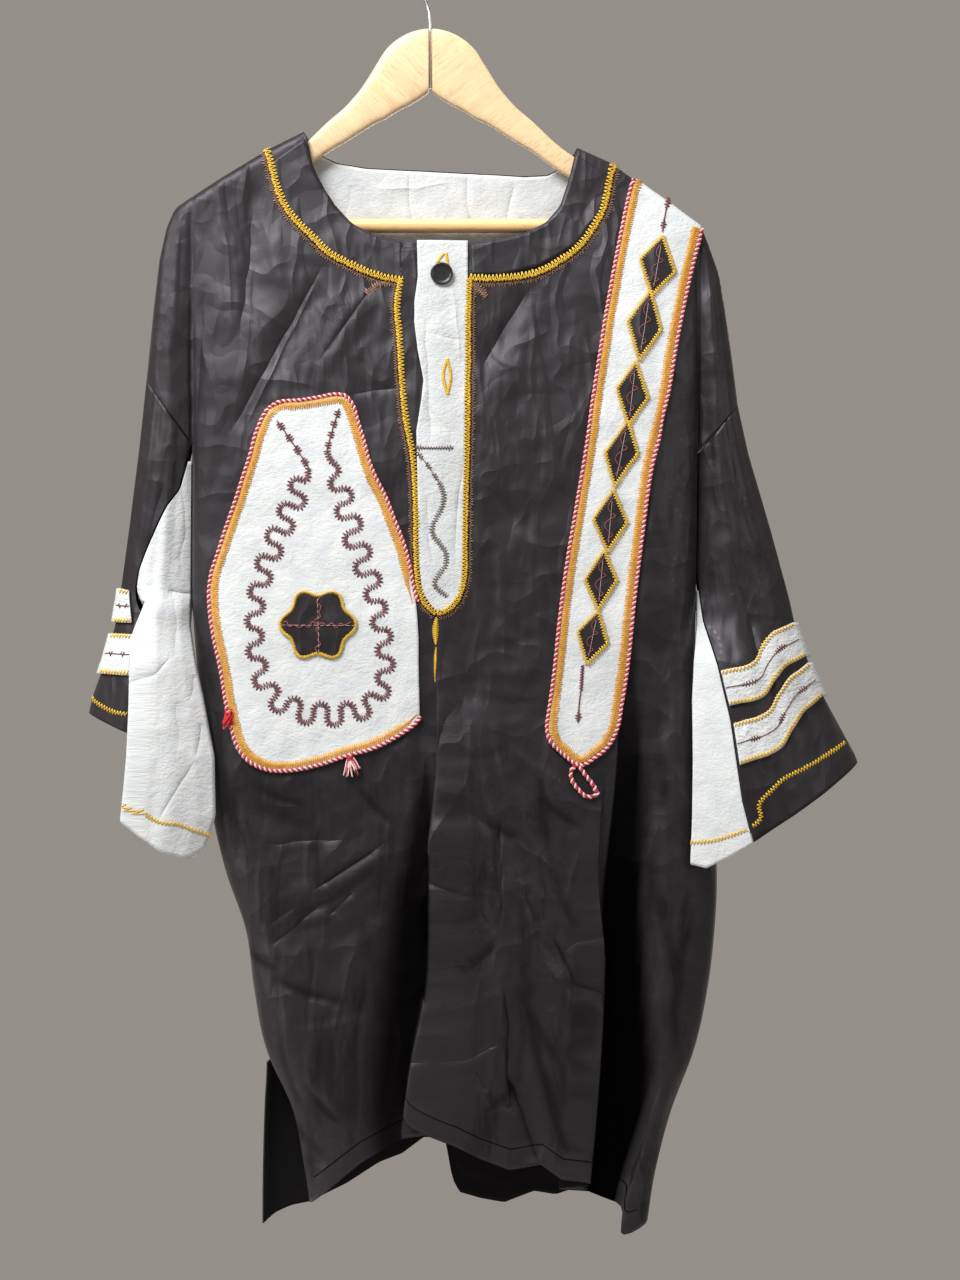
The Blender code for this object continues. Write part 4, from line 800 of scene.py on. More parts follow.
# one mesh from point grids in mm that share borders; its map "cut" holds the flat places in metres
# outward gives the sign of y that the faces look to, 0 leaves it to the recalculation
def clothMesh(name, blocks, flats, outward):
    points = np.concatenate([block.reshape(-1, 3) for block in blocks])
    flat = np.concatenate([np.asarray(one).reshape(-1, 2) for one in flats])
    faces, base = [], 0
    for block in blocks:
        rows, columns = block.shape[:2]
        corner = base + np.arange(rows * columns).reshape(rows, columns)
        quads = np.stack([corner[:-1, :-1], corner[1:, :-1], corner[1:, 1:], corner[:-1, 1:]], axis=-1)
        faces.append(quads.reshape(-1, 4))
        base += rows * columns
    faces = np.concatenate(faces)
    _, first, same = np.unique(np.round(points, 3), axis=0, return_index=True, return_inverse=True)
    same = same.reshape(-1)
    merged = same[faces]
    keep = np.all(np.diff(np.sort(merged, axis=1), axis=1) > 0, axis=1)
    merged, faces = merged[keep], faces[keep]
    mesh = bpy.data.meshes.new(name)
    mesh.from_pydata((points[first] * mm).tolist(), [], merged.tolist())
    layer = mesh.uv_layers.new(name="cut")
    layer.data.foreach_set("uv", (flat[faces.reshape(-1)] * mm).astype(np.float32).ravel())
    turned = bmesh.new()
    turned.from_mesh(mesh)
    bmesh.ops.recalc_face_normals(turned, faces=turned.faces[:])
    if outward * sum(face.normal.y * face.calc_area() for face in turned.faces) < 0:
        bmesh.ops.reverse_faces(turned, faces=turned.faces[:])
    turned.to_mesh(mesh)
    turned.free()
    mesh.shade_smooth()
    return mesh


# an object of a mesh, riding on the garment, with its slot and the solid it stands for
def addPiece(name, mesh, material, node=None):
    mesh.materials.append(material)
    made = bpy.data.objects.new(name, mesh)
    bpy.context.scene.collection.objects.link(made)
    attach(made, "root")
    if node:
        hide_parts(node)
    return made


# the cloth pieces: the solid that each stands for, the flat size it was cut to (m) and its area (m2)
cutting = {
    "tunicFront": ("front_panel", (0.60, 0.94), 0.415),
    "tunicBack": ("back_panel", (0.52, 0.95), 0.395),
    "neckbandLeft": ("neckband_left", (0.11, 0.13), 0.0050),
    "neckbandRight": ("neckband_right", (0.11, 0.13), 0.0050),
    "placketUnder": ("placket_underlap", (0.024, 0.18), 0.0038),
    "placketOver": ("placket_overlap", (0.045, 0.31), 0.0124),
    "chestPatch": ("chest_patch", (0.18, 0.32), 0.044),
    "patchFlower": ("patch_flower", (0.062, 0.056), 0.0025),
    "shoulderStrip": ("shoulder_strip", (0.062, 0.49), 0.029),
    "neckFacing": ("back_neck_facing", (0.23, 0.10), 0.0185),
    "sleeveLeft": ("sleeve_left", (0.20, 0.30), 0.027),
    "sleeveRight": ("sleeve_right", (0.34, 0.37), 0.063),
    "gussetLeftFront": ("gusset_left_front", (0.12, 0.33), 0.0200),
    "gussetLeftBack": ("gusset_left_back", (0.12, 0.33), 0.0185),
    "gussetRightFront": ("gusset_right_front", (0.06, 0.23), 0.0076),
    "gussetRightBack": ("gusset_right_back", (0.06, 0.23), 0.0067),
    "sleeveLeftBand1": ("sleeve_left_band_1", (0.08, 0.030), 0.0021),
    "sleeveLeftBand2": ("sleeve_left_band_2", (0.11, 0.036), 0.0035),
    "sleeveRightBand1": ("sleeve_right_band_1", (0.24, 0.03), 0.0069),
    "sleeveRightBand2": ("sleeve_right_band_2", (0.26, 0.033), 0.0081),
}
cutting.update({"stripDiamond%d" % n: ("strip_diamond_%d" % n, (0.030, 0.045), 0.0007) for n in range(1, 8)})


# a cloth piece: its sheet given a wall, in the slot of its cloth
def clothPiece(name, blocks, flats, thickness, material, outward=0):
    node, flat, area = cutting[name]
    made = addPiece(name, clothMesh(name, blocks, flats, outward), material, node)
    wall = made.modifiers.new("wall", "SOLIDIFY")
    wall.thickness, wall.offset, wall.use_rim = thickness * mm, 0.0, True
    return made


# fine places of the front's columns: whole numbers are the borders of its folds
frontCounts = (56, 24, 44, 22, 9, 6, 7)
frontStretches = [np.linspace(k, k + 1, n + 1)[:-1] for k, n in enumerate(frontCounts)]
frontStretches = np.concatenate(frontStretches + [[len(frontCounts)]])


# flat x of the front's columns at heights: straight between the borders of its folds
def frontAcross(stretch, z):
    left, right = bodyEdges(z, 1)
    stops = [left]
    for table, topSide, _ in frontFolds:
        edge, half = lookUp(table, 1, z), lookUp(table, 2, z)
        centre = edge + topSide * 1.03 * half
        stops += [centre - half, centre + half]
    stops = np.stack(stops + [right])
    k = np.clip(np.floor(stretch).astype(int), 0, 6)
    k = np.broadcast_to(k, z.shape)
    low = np.take_along_axis(stops, k[None], axis=0)[0]
    high = np.take_along_axis(stops, k[None] + 1, axis=0)[0]
    return low + (high - low) * (stretch - k)


backColumns = 96
upperRows, lowRows = 58, 176         # rows of both panels above and below the armholes' foot


# flat x, z of a body panel's grid: from the shoulders and neck down to the hem
def panelGrid(side):
    if side == 1:
        stretch = frontStretches
        topX = lineUp(frontTop, 1, stretch)
        neck, inNeck = frontNeck, (stretch >= neckStretch[0]) & (stretch <= neckStretch[1])
    else:
        stretch = np.linspace(0, 1, backColumns)
        topX = np.interp(stretch, (0, 0.22, 0.80, 1), (-203, -107, 125, 228))
        neck, inNeck = backNeck, (topX >= -107) & (topX <= 125)
    topZ = np.where(inNeck, lineUp(neck, 1, topX), lineUp(shoulderLine, 1, topX))
    share = np.linspace(0, 1, len(stretch))
    footZ = lineUp(frontHem if side == 1 else backHem, 1, stretch)
    middleZ = -436.0 - 7.0 * share
    dropScale = np.where(inNeck, 2.5, 1.0)
    drops = np.array([0, 0.6, 1.8, 3.6, 6, 9, 12])[:, None] * dropScale
    upper = np.linspace(0, 1, upperRows)[1:, None]
    lower = np.linspace(0, 1, lowRows)[1:, None]
    start = topZ - drops[-1]
    z = np.concatenate([topZ - drops, start + (middleZ - start) * upper, middleZ + (footZ - middleZ) * lower])
    if side == 1:
        settled = frontAcross(stretch[None, :], z)
    else:
        left, right = bodyEdges(z, 2)
        settled = left + (right - left) * stretch[None, :]
    blend = ease(np.mean(topZ - z, axis=1, keepdims=True) / 150)
    return topX + (settled - topX) * blend, z, len(drops) + len(upper) - 1


# the panel beyond the hanger's end: straight rows from the fold over the arm in to the groove
def capGrid(table, grooveX, grooveZ, seamZ, side):
    down = (grooveZ - grooveZ[0]) / (grooveZ[-1] - grooveZ[0])
    edgeZ = table[0][0] + (seamZ - table[0][0]) * down ** 0.6
    edgeX = lineUp(table, 1, edgeZ)
    even = np.linspace(0, 1, 14)[None, :]
    share = ease(even) * 0.4 + even * 0.6
    x = edgeX[:, None] + (grooveX[:, None] - edgeX[:, None]) * share
    z = edgeZ[:, None] + (grooveZ[:, None] - edgeZ[:, None]) * share
    outer, inner = lineUp(table, 1, z), lineUp(table, 2, z)
    reach = np.clip((x - outer) / np.where(np.abs(inner - outer) < 0.1, 0.1, inner - outer), 0, 1)
    reach[:, -1] = 1.0
    points = armSurface(table, reach, z, side)
    points[..., 0] = x
    return points, np.stack([x, z], axis=-1)


# a body panel with its caps over the hanger's ends; its hem stands out by the turn-up
def bodyPanel(name, surface, material, side):
    x, z, topRow = panelGrid(side)
    body = surface(x, z)
    outward = -1 if side == 1 else 1
    body[..., 1] += outward * garment["turnUp"] * ease((19 - (z - z[-1])) / 3)
    blocks, flats = [body], [np.stack([x, z], axis=-1)]
    for table, column, seamZ in ((armLeft, 0, -380.0), (armRight, -1, -402.0)):
        cap, flat = capGrid(table, x[:topRow + 1, column], z[:topRow + 1, column], seamZ, side)
        cap[:, -1] = body[:topRow + 1, column]
        cap[0] = body[0, column]
        if column == -1:
            cap, flat = cap[:, ::-1], flat[:, ::-1]
        blocks.append(cap)
        flats.append(flat)
    made = clothPiece(name, blocks, flats, garment["cloth"], material, outward=outward)
    made.data.materials.append(damaskReverse)
    made.modifiers["wall"].material_offset = 1
    return made


# shade in the hollows beside the front's folds: falls away from each fold's edge, on the side of its under
# layer, and stops at the edge of the tail's fold; low on the body the fine creases are shaded too
def hollowShade(mesh):
    places = np.empty(len(mesh.vertices) * 3)
    mesh.vertices.foreach_get("co", places)
    x, _, z = places.reshape(-1, 3).T / mm
    shade = np.zeros(len(x))
    for table, topSide, reaches, fall in ((foldCentre, 1, centreHollow, 1.5),
                                          (foldValley, -1, valleyHollow, 2.8)):
        away = (lookUp(table, 1, z) - x) * topSide
        reach, strength = lineUp(reaches, 1, z), lineUp(reaches, 2, z)
        if topSide < 0:
            strength = strength * np.where(z < -925, ease((lookUp(foldTail, 1, z) - x) / 4 + 0.5), 1)
        shade = np.maximum(shade, strength * ease(fall * (1 - away / reach)) * (away > -0.6))
    crumpled = np.clip(creaseDepth(frontFine, x, z) / 1.8, 0, 1) * ease((-620 - z) / 120)
    shade = np.maximum(shade, 0.5 * crumpled)
    layer = mesh.attributes.new("paintedShade", "FLOAT", "POINT")
    layer.data.foreach_set("value", shade.astype(np.float32))


hollowShade(bodyPanel("tunicFront", frontSurface, frontDamask, 1).data)
bodyPanel("tunicBack", backSurface, backDamask, 2)
print("body panels ready")

onCloth = garment["cloth"] / 2 + 2 * garment["gap"] + garment["trim"] / 2    # lift of a piece on the cloth
onTrim = onCloth + garment["trim"] + garment["gap"]                          # lift of a second layer


# a piece sewn on a body surface: its flat places carried onto the cloth and lifted off it
def sewn(name, x, z, lift, material, surface=frontSurface):
    clothPiece(name, [lifted(surface, x, z, lift)], [np.stack([x, z], axis=-1)], garment["trim"], material)


# places between two outlines of equal run: a row for each step from the first to the second
def between(first, second, steps):
    share = np.linspace(0, 1, steps + 1)[:, None]
    return first[0] + (second[0] - first[0]) * share, first[1] + (second[1] - first[1]) * share


# places inside an outline given by its left and right x at each height
def byHeight(outline, heights, columns):
    left, right = lineUp(outline, 1, heights), lineUp(outline, 2, heights)
    share = np.linspace(0, 1, columns + 1)[None, :]
    return left[:, None] + (right - left)[:, None] * share, np.repeat(heights[:, None], columns + 1, 1)


# the two neckbands: between the neck's edge and the outer edge of the band
def neckbands():
    at = np.linspace(0.02, 1, 70)
    leftNeck = [point for point in frontNeck if point[0] < -30]
    rightNeck = [point for point in reversed(frontNeck) if point[0] > 32]
    for name, edge, neck, foot in (("neckbandLeft", bandEdgeLeft, leftNeck, (-24, -265)),
                                   ("neckbandRight", bandEdgeRight, rightNeck, (35, -266))):
        start = (neck[0][0], neck[0][1] - 5)
        inner = along([start] + [point for point in neck[1:] if abs(point[0] - foot[0]) > 6] + [foot], at)
        outer = along([(edge[0][0], edge[0][1] - 4)] + edge[1:], at)
        x, z = between(outer, (inner[0], inner[1] - 1.0), 10)
        sewn(name, x, z, onCloth, blackDamask)


# lift of the placket's white strip: over the underlap on its free side, down on the cloth on the other
def placketLift(x, z):
    left, right = lineUp(overlapOutline, 1, z), lineUp(overlapOutline, 2, z)
    overEdge = 1 - ease(((x - left) / (right - left) - 0.42) / 0.5)
    creasing = 0.35 * (1 + lattice(x, z, 14, 9, 31)) + 0.3 * (1 + lattice(x + 0.5 * z, z, 22, 16, 32))
    return onCloth + (onTrim - onCloth + 0.2) * overEdge * ease((z + 500) / 50) + 0.5 * creasing


# the underlap beside the free edge, then the white strip over it
def placket():
    heights = np.linspace(-270, -446, 60)
    left = lineUp(underEdge, 1, heights)
    right = lineUp(overlapOutline, 1, heights) + 7
    x, z = between((left, heights), (right, heights), 10)
    sewn("placketUnder", x.T, z.T, onCloth, blackDamask)
    heights = np.concatenate([np.linspace(-264.5, -450, 74)[:-1], np.linspace(-450, -562, 44)[:-1],
                              np.linspace(-562, -578, 8)])
    x, z = byHeight(overlapOutline, heights, 20)
    sewn("placketOver", x, z, placketLift(x, z), placketCotton)


# depth of the patch's quilted wrinkles: small puckers all over
def quilted(x, z, size):
    small = lattice(x + 0.3 * z, z - 0.2 * x, 17, 11, 41) + 0.6 * lattice(x - 0.5 * z, z, 9, 13, 42)
    return size * (1.6 + small) / 2


# the patch row by row between its sides, and its flower in rings
def chestPatch():
    heights = np.array([row[0] for row in patchOutline], dtype=float)
    heights = np.interp(np.linspace(0, len(heights) - 1, 121), np.arange(len(heights)), heights)
    x, z = byHeight(patchOutline, heights, 86)
    sewn("chestPatch", x, z, onCloth + quilted(x, z, trimRumple["patch"]), whiteCotton)
    turn = np.linspace(0, 2 * np.pi, 97)
    x, z = flowerRim(turn, np.concatenate([[0.0], np.linspace(0.05, 1, 13)])[:, None])
    sewn("patchFlower", x, z, onTrim + quilted(x, z, trimRumple["flower"]) - 0.3, blackDamask)


flower = {"middle": (-93, -589), "reach": 28.0, "lobe": 0.11, "oval": 0.03}


# six shallow lobes round the flower's middle, at a share of its reach: a circle plus cosines of the turn
def flowerRim(turn, share):
    lobes = 1 + flower["lobe"] * np.cos(6 * turn) + flower["oval"] * np.cos(2 * turn)
    reach = share * flower["reach"] * lobes
    return flower["middle"][0] + reach * np.cos(turn), flower["middle"][1] + reach * np.sin(turn)


# the strip between its two sides; each diamond is a square grid skewed by its slant and tilt
def shoulderStrip():
    at = np.linspace(0, 1, 170)
    x, z = between(along(stripLeft, at), along(stripRight, at), 34)
    sewn("shoulderStrip", x, z, onCloth + quilted(x, z, trimRumple["strip"]), whiteCotton)
    for number, (x0, z0, halfWidth, halfHeight, slant, tilt) in enumerate(diamondRows, 1):
        a, b = np.meshgrid(np.linspace(-1, 1, 13), np.linspace(-1, 1, 13))
        across, up = (a - b) / 2, (a + b) / 2
        x = (x0 + across * halfWidth + up * slant)[:, ::-1]
        z = (z0 + up * halfHeight - across * tilt)[:, ::-1]
        lift = onTrim + quilted(x, z, trimRumple["diamond"]) - 0.2
        sewn("stripDiamond%d" % number, x, z, lift, blackDamask)


# the facing hangs from the back neck: its depth is a flattened sine over the neck's run
def backFacing():
    at = np.linspace(0.035, 0.965, 90)
    neckX, neckZ = along(backNeck, at)
    deep = 84 * np.sin(np.pi * at) ** 0.35
    share = np.linspace(0, 1, 26)[:, None]
    x = neckX + (8 - neckX) * 0.02 * share
    z = neckZ - 1.2 - deep * share
    creasing = 0.8 * creaseDepth([(-70, -205, -50, -262, 6, 1.0), (-20, -210, -34, -270, 7, -0.8),
                              (40, -212, 30, -268, 7, 1.0), (80, -215, 70, -262, 6, 0.9)], x, z)
    sewn("neckFacing", x, z, onCloth + np.clip(creasing, -0.5, 1.2), facingCotton, backSurface)


neckbands()
placket()
chestPatch()
shoulderStrip()
backFacing()
print("sewn pieces ready")

# arms: sections, the fold that holds the gusset seam, which way the arm points inward, seam margin, hems, the
# front gusset's cloth, and the bands: upper and lower z at the outer fold and at the seam, then their wave as
# share from outer fold to seam, lift
arms = {
    "Left": {"sections": armLeft, "seam": gussetSeamLeft, "sign": 1, "margin": 0.8,
             "top": ((-242, -380), (-203, -436)), "hem": (-664, -682), "gussetTop": -450,
             "gussetHem": [(0, -712), (0.27, -750), (0.4, -757), (0.7, -780), (0.9, -785), (1, -776)],
             "gussetCloth": gussetCotton,
             "bands": (((-558, -587), (-560, -588)), ((-597, -631), (-598, -632))),
             "bandWave": [(0, 0), (1, 0)]},
    "Right": {"sections": armRight, "seam": gussetSeamRight, "sign": -1, "margin": 0.4,
              "top": ((262, -402), (228, -443)), "hem": (-706, -770), "gussetTop": -560,
              "gussetHem": [(0, -771), (0.4, -783), (0.75, -792), (1, -789)],
              "gussetCloth": whiteCotton,
              "bands": (((-586, -615), (-628, -657)), ((-620, -648), (-672, -706))),
              "bandWave": [(0, 0), (0.18, 2), (0.35, 3.6), (0.5, -1), (0.62, -6.4), (0.76, -6), (0.9, -2.2),
                           (1, 0)]},
}


# how far the front of a band is lifted from straight, by its place between outer fold and seam
def bandLift(arm, shares, side):
    return lookUp(arm["bandWave"], 1, shares) if side == 1 else 0 * shares


# x of an arm's outer fold and inner edge at heights
def armWidth(arm, z):
    return lineUp(arm["sections"], 1, z), lineUp(arm["sections"], 2, z)


# flat x of the seam between black sleeve and white gusset; the inner edge above its top
def armSeam(arm, z):
    folded = lineUp(arm["seam"], 2, z) * ease(lineUp(arm["seam"], 3, z))
    at = lineUp(arm["seam"], 1, z) + arm["sign"] * 0.6 * folded
    return np.where(z > arm["seam"][0][0], armWidth(arm, z)[1], at)


# how far both cloths stop short of the seam where it is folded under
def seamTuck(arm, z, side):
    folded = lineUp(arm["seam"], 2, z) * lineUp(arm["seam"], 3, z)
    return 0.17 * folded if side == 1 else 0 * folded


# point of the arm's front (side 1) or back (side 2) at a flat place
def armPoint(arm, x, z, side):
    x, z = np.broadcast_arrays(x, z)
    outer, inner = armWidth(arm, z)
    share = np.clip((x - outer) / (inner - outer), 0, 1)
    points = armSurface(arm["sections"], share, z, side)
    if side == 1:
        shift, step = foldOver(x, z, arm["seam"], arm["sign"], 1)
        points[..., 0] += shift
        points[..., 1] -= step * np.clip(np.minimum(share, 1 - share) * 8, 0, 1)
    return points


sleeveShares = np.sort(np.concatenate([np.linspace(0, 1, 44), [0.008, 0.05, 0.97, 0.99]]))


# flat x of the black sleeve's columns, from the outer fold to the gusset seam
def sleevePlaces(arm, z, shares, margin, side):
    outer = armWidth(arm, z)[0]
    return outer + (armSeam(arm, z) - arm["sign"] * (margin + seamTuck(arm, z, side)) - outer) * shares


# black sleeve: from the front gusset seam round the outer fold to the back gusset seam
def sleeve(name, arm):
    (outerX, outerZ), (innerX, innerZ) = arm["top"]
    share = np.linspace(0, 1, 96)[:, None]
    blocks, flats = [], []
    for side in (1, 2):
        topZ = outerZ + (innerZ - outerZ) * sleeveShares - 0.35
        topX = outerX + (innerX - outerX) * sleeveShares
        footZ = arm["hem"][0] + (arm["hem"][1] - arm["hem"][0]) * sleeveShares
        z = topZ + (footZ - topZ) * share
        x = sleevePlaces(arm, z, sleeveShares, arm["margin"], side)
        x = x + (topX - x[:1]) * (1 - ease(share * 5)) * (sleeveShares < 0.99)
        blocks.append(armPoint(arm, x, z, side))
        mirrored = x if side == 1 else 2 * armWidth(arm, z)[0] - x
        flats.append(np.stack([mirrored, z], axis=-1))
    whole = np.concatenate([blocks[0][:, ::-1], blocks[1][:, 1:]], axis=1)[:, ::-arm["sign"]]
    flat = np.concatenate([flats[0][:, ::-1], flats[1][:, 1:]], axis=1)[:, ::-arm["sign"]]
    clothPiece(name, [whole], [flat], garment["cloth"], blackDamask)


# white underarm panel of one face, from the sleeve seam to the inner edge
def gusset(name, arm, side):
    folded = arm["sign"] > 0 and side == 1
    reach = np.linspace(0, 1, 43)
    share = np.linspace(0, 1, 84)[:, None]
    z = arm["gussetTop"] + (lineUp(arm["gussetHem"], 1, reach) - arm["gussetTop"]) * share
    start = armSeam(arm, z) + arm["sign"] * (arm["margin"] + seamTuck(arm, z, side))
    end = armWidth(arm, z)[1] - arm["sign"] * 0.9
    x = start + (end - start) * reach
    if folded:
        half = lineUp(arm["seam"], 2, z)
        centre = lineUp(arm["seam"], 1, z) + arm["sign"] * 1.03 * half
        turns = np.interp(np.arange(43), (0, 5, 10, 14, 18, 23, 42), (-0.2, 0.05, 0.33, 0.53, 0.78, 1, 1))
        beyond = np.interp(np.arange(43), (0, 23, 42), (0, 0, 1))
        inFold = centre + arm["sign"] * half * turns
        inFold[:, 0] = start[:, 0]
        inFold = inFold + (end - inFold) * beyond
        x = x + (inFold - x) * ease((-510 - z) / 50)
    points, flat = armPoint(arm, x, z, side), np.stack([x, z], axis=-1)
    if (arm["sign"] < 0) == (side == 1):
        points, flat = points[:, ::-1], flat[:, ::-1]
    clothPiece(name, [points], [flat], garment["cloth"], arm["gussetCloth"] if side == 1 else whiteCotton)


# seam margin of a band on the arm's front (side 1) or back (side 2)
def bandMargin(arm, side):
    return 5 if arm["sign"] > 0 and side == 1 else 1


# gathered white band round the sleeve, given by its upper and lower z at the outer fold and at the seam
def sleeveBand(name, arm, heights):
    share = np.linspace(0, 1, 15)[:, None]
    shares = np.linspace(0, 1, 60)
    (upperOut, lowerOut), (upperIn, lowerIn) = heights
    upper = upperOut + (upperIn - upperOut) * shares
    lower = lowerOut + (lowerIn - lowerOut) * shares
    straight = upper + (lower - upper) * share
    blocks, flats = [], []
    for side in (1, 2):
        z = straight + bandLift(arm, shares, side)
        x = sleevePlaces(arm, z, shares * 0.99, bandMargin(arm, side), side)
        gathers = 0.28 * (1 + lattice(x, z, 3.4, 24, 51 + side))
        gathers = gathers * np.sin(np.pi * np.clip(share, 0.03, 0.97)) ** 0.5
        outward = (onCloth + 2 * garment["gap"] + gathers) * (1 if side == 1 else -1)
        blocks.append(lifted(lambda a, b: armPoint(arm, a, b, side), x, z, outward))
        mirrored = x if side == 1 else 2 * armWidth(arm, z)[0] - x
        flats.append(np.stack([mirrored, z], axis=-1))
    skip = 3
    middle = (blocks[0][:, skip:skip + 1] + blocks[1][:, skip:skip + 1]) / 2
    middle[..., 0] = armWidth(arm, z[:, :1])[0] - arm["sign"] * (onCloth + 2.4)
    whole = np.concatenate([blocks[0][:, :skip - 1:-1], middle, blocks[1][:, skip:]], axis=1)
    flat = np.concatenate([flats[0][:, :skip - 1:-1], flats[0][:, :1], flats[1][:, skip:]], axis=1)
    clothPiece(name, [whole[:, ::-arm["sign"]]], [flat[:, ::-arm["sign"]]], garment["trim"], bandCotton)


for sideName, arm in arms.items():
    sleeve("sleeve" + sideName, arm)
for sideName, arm in arms.items():
    gusset("gusset%sFront" % sideName, arm, 1)
    gusset("gusset%sBack" % sideName, arm, 2)
for sideName, arm in arms.items():
    for number, heights in enumerate(arm["bands"], 1):
        sleeveBand("sleeve%sBand%d" % (sideName, number), arm, heights)
print("sleeves ready")

# embroidery sizes in mm: width across the line, run of a pair of stitches, thread radius
stitching = {
    "satin": (6.6, 1.9, 0.45),           # amber border of patch and strip
    "neck": (5.6, 3.1, 0.48),            # gold line round the neck and down the placket
    "rim": (2.7, 1.5, 0.36),             # close gold outline of the flower
    "outline": (3.5, 2.4, 0.44),         # open gold outline of the diamonds
    "meander": (5.2, 2.5, 0.44),         # maroon scalloped line
    "knots": (4.6, 2.3, 0.42),           # maroon bunches of stitches
    "hem": (3.4, 2.8, 0.48),             # gold lines at cuffs and bands
    "fringe": (3.4, 2.2, 0.22),          # loose rust stitches outside the neck line
}


# lifts of thread lying on the cloth, on a trim piece (with its own puckers) or on a second layer
def onTunic(x, z):
    return garment["cloth"] / 2 + 0.2 + 0 * x


def onPiece(x, z):
    return onCloth + garment["trim"] / 2 + 0.2 + 0 * x


def onPatch(x, z):
    return onPiece(x, z) + quilted(x, z, trimRumple["patch"])


def onStrip(x, z):
    return onPiece(x, z) + quilted(x, z, trimRumple["strip"])


def onFlower(x, z):
    return onTrim + garment["trim"] / 2 - 0.1 + quilted(x, z, trimRumple["flower"])


def onLozenge(x, z):
    return onTrim + garment["trim"] / 2 + quilted(x, z, trimRumple["diamond"])


def onPlacketEdge(x, z):
    return onCloth + garment["trim"] / 2 + 0.4 + 0 * x


def onPlacket(x, z):
    return placketLift(x, z) + garment["trim"] / 2 + 0.2


# a ground raised by a further amount
def above(ground, more):
    return lambda x, z: ground(x, z) + more


# places along a line at even steps, with the unit normal and the run: cubic through the points, or straight
def lineOf(points, step, smooth=True):
    points = np.array(points, dtype=float)
    run = np.concatenate([[0], np.cumsum(np.hypot(*np.diff(points, axis=0).T))])
    at = np.linspace(0, run[-1], max(8, int(run[-1] / 0.4)))
    rows = list(zip(run, points[:, 0], points[:, 1]))
    read = lookUp if smooth else lineUp
    x, z = read(rows, 1, at), read(rows, 2, at)
    run = np.concatenate([[0], np.cumsum(np.hypot(np.diff(x), np.diff(z)))])
    at = np.linspace(0, run[-1], max(3, int(round(run[-1] / step)) + 1))
    x, z = np.interp(at, run, x), np.interp(at, run, z)
    alongX, alongZ = np.gradient(x), np.gradient(z)
    size = np.hypot(alongX, alongZ) + 1e-9
    return x, z, -alongZ / size, alongX / size, at


# the same line moved sideways by an offset, as points
def movedLine(points, offset):
    x, z, sideX, sideZ, _ = lineOf(points, 2.0)
    return np.stack([x + sideX * offset, z + sideZ * offset], axis=-1)


# one thread as a zigzag over a line: slanting stitches joined by short runs along its edges, raised in the
# middle; their reach to each side is a wave of 1 and -1, made uneven by a sine hash
def zigzag(points, kind, ground, shape=None, smooth=True, rise=0.35, uneven=0.10, scale=1.0,
           surface=frontSurface):
    width, pitch, _ = stitching[kind]
    x, z, sideX, sideZ, run = lineOf(points, 0.5, smooth)
    pairs = max(2, int(round(run[-1] / pitch)))
    count = np.arange(pairs * 6)
    share = (count // 6 + np.array([0, 0.2, 0.4, 0.5, 0.7, 0.9])[count % 6]) / pairs
    x, z, sideX, sideZ = (np.interp(share * run[-1], run, value) for value in (x, z, sideX, sideZ))
    noise = np.sin(count * 12.9898 + pairs) * 43758.5453
    wave = np.array([1.0, 0.0, -1.0, -1.0, 0.0, 1.0])[count % 6]
    wave = wave * (1 + uneven * (2 * (noise - np.floor(noise)) - 1))
    across = scale * width / 2 * wave * (1 if shape is None else shape(share))
    x, z = x + sideX * across, z + sideZ * across
    return lifted(surface, x, z, ground(x, z) + rise * (1 - np.abs(wave)) - 0.12)


# one strand of a twisted cord: a helix round a line, cosine across it and sine in lift
def strand(points, phase, radius, pitch, ground):
    x, z, sideX, sideZ, run = lineOf(points, pitch / 7)
    turn = 2 * np.pi * run / pitch + phase
    x, z = x + sideX * radius * np.cos(turn), z + sideZ * radius * np.cos(turn)
    return lifted(frontSurface, x, z, ground(x, z) + radius * np.sin(turn))


# a plain thread lying along a line
def laid(points, ground, smooth=True, surface=frontSurface):
    x, z, _, _, _ = lineOf(points, 1.2, smooth)
    return lifted(surface, x, z, ground(x, z))


# a closed mesh over tubes, each an array of rings of points: quads between rings and a face at both ends
def ringMesh(name, tubes, mirrored=False):
    faces, base = [], 0
    for tube in tubes:
        corner = base + np.arange(tube.shape[0] * tube.shape[1]).reshape(tube.shape[:2])
        after = np.roll(corner, -1, axis=1)
        quads = np.stack([corner[:-1], after[:-1], after[1:], corner[1:]], axis=-1).reshape(-1, 4)
        faces += quads.tolist() + [corner[0, ::-1].tolist(), corner[-1].tolist()]
        base += corner.size
    mesh = bpy.data.meshes.new(name)
    mesh.from_pydata((np.concatenate([tube.reshape(-1, 3) for tube in tubes]) * mm).tolist(), [],
                     [face[::-1] for face in faces] if mirrored else faces)
    mesh.shade_smooth()
    return mesh


# round tubes along lists of points: a ring of cosine and sine across each path's direction
def tubeMesh(name, paths, radius, sides=4):
    turn = 2 * np.pi * (np.arange(sides) + 0.5) / sides
    tubes = []
    for path in paths:
        direction = np.gradient(path, axis=0)
        direction /= np.linalg.norm(direction, axis=1, keepdims=True) + 1e-9
        side = np.cross(direction, np.array([0.08, -1.0, 0.05]))
        side /= np.linalg.norm(side, axis=1, keepdims=True) + 1e-9
        up = np.cross(direction, side)
        ring = side[:, None] * np.cos(turn)[None, :, None] + up[:, None] * np.sin(turn)[None, :, None]
        tubes.append(path[:, None] + ring * radius)
    return ringMesh(name, tubes)


# a piece of threads along lists of points
def threads(name, paths, kind, material, sides=4, radius=None):
    addPiece(name, tubeMesh(name, paths, radius or stitching[kind][2], sides), material)


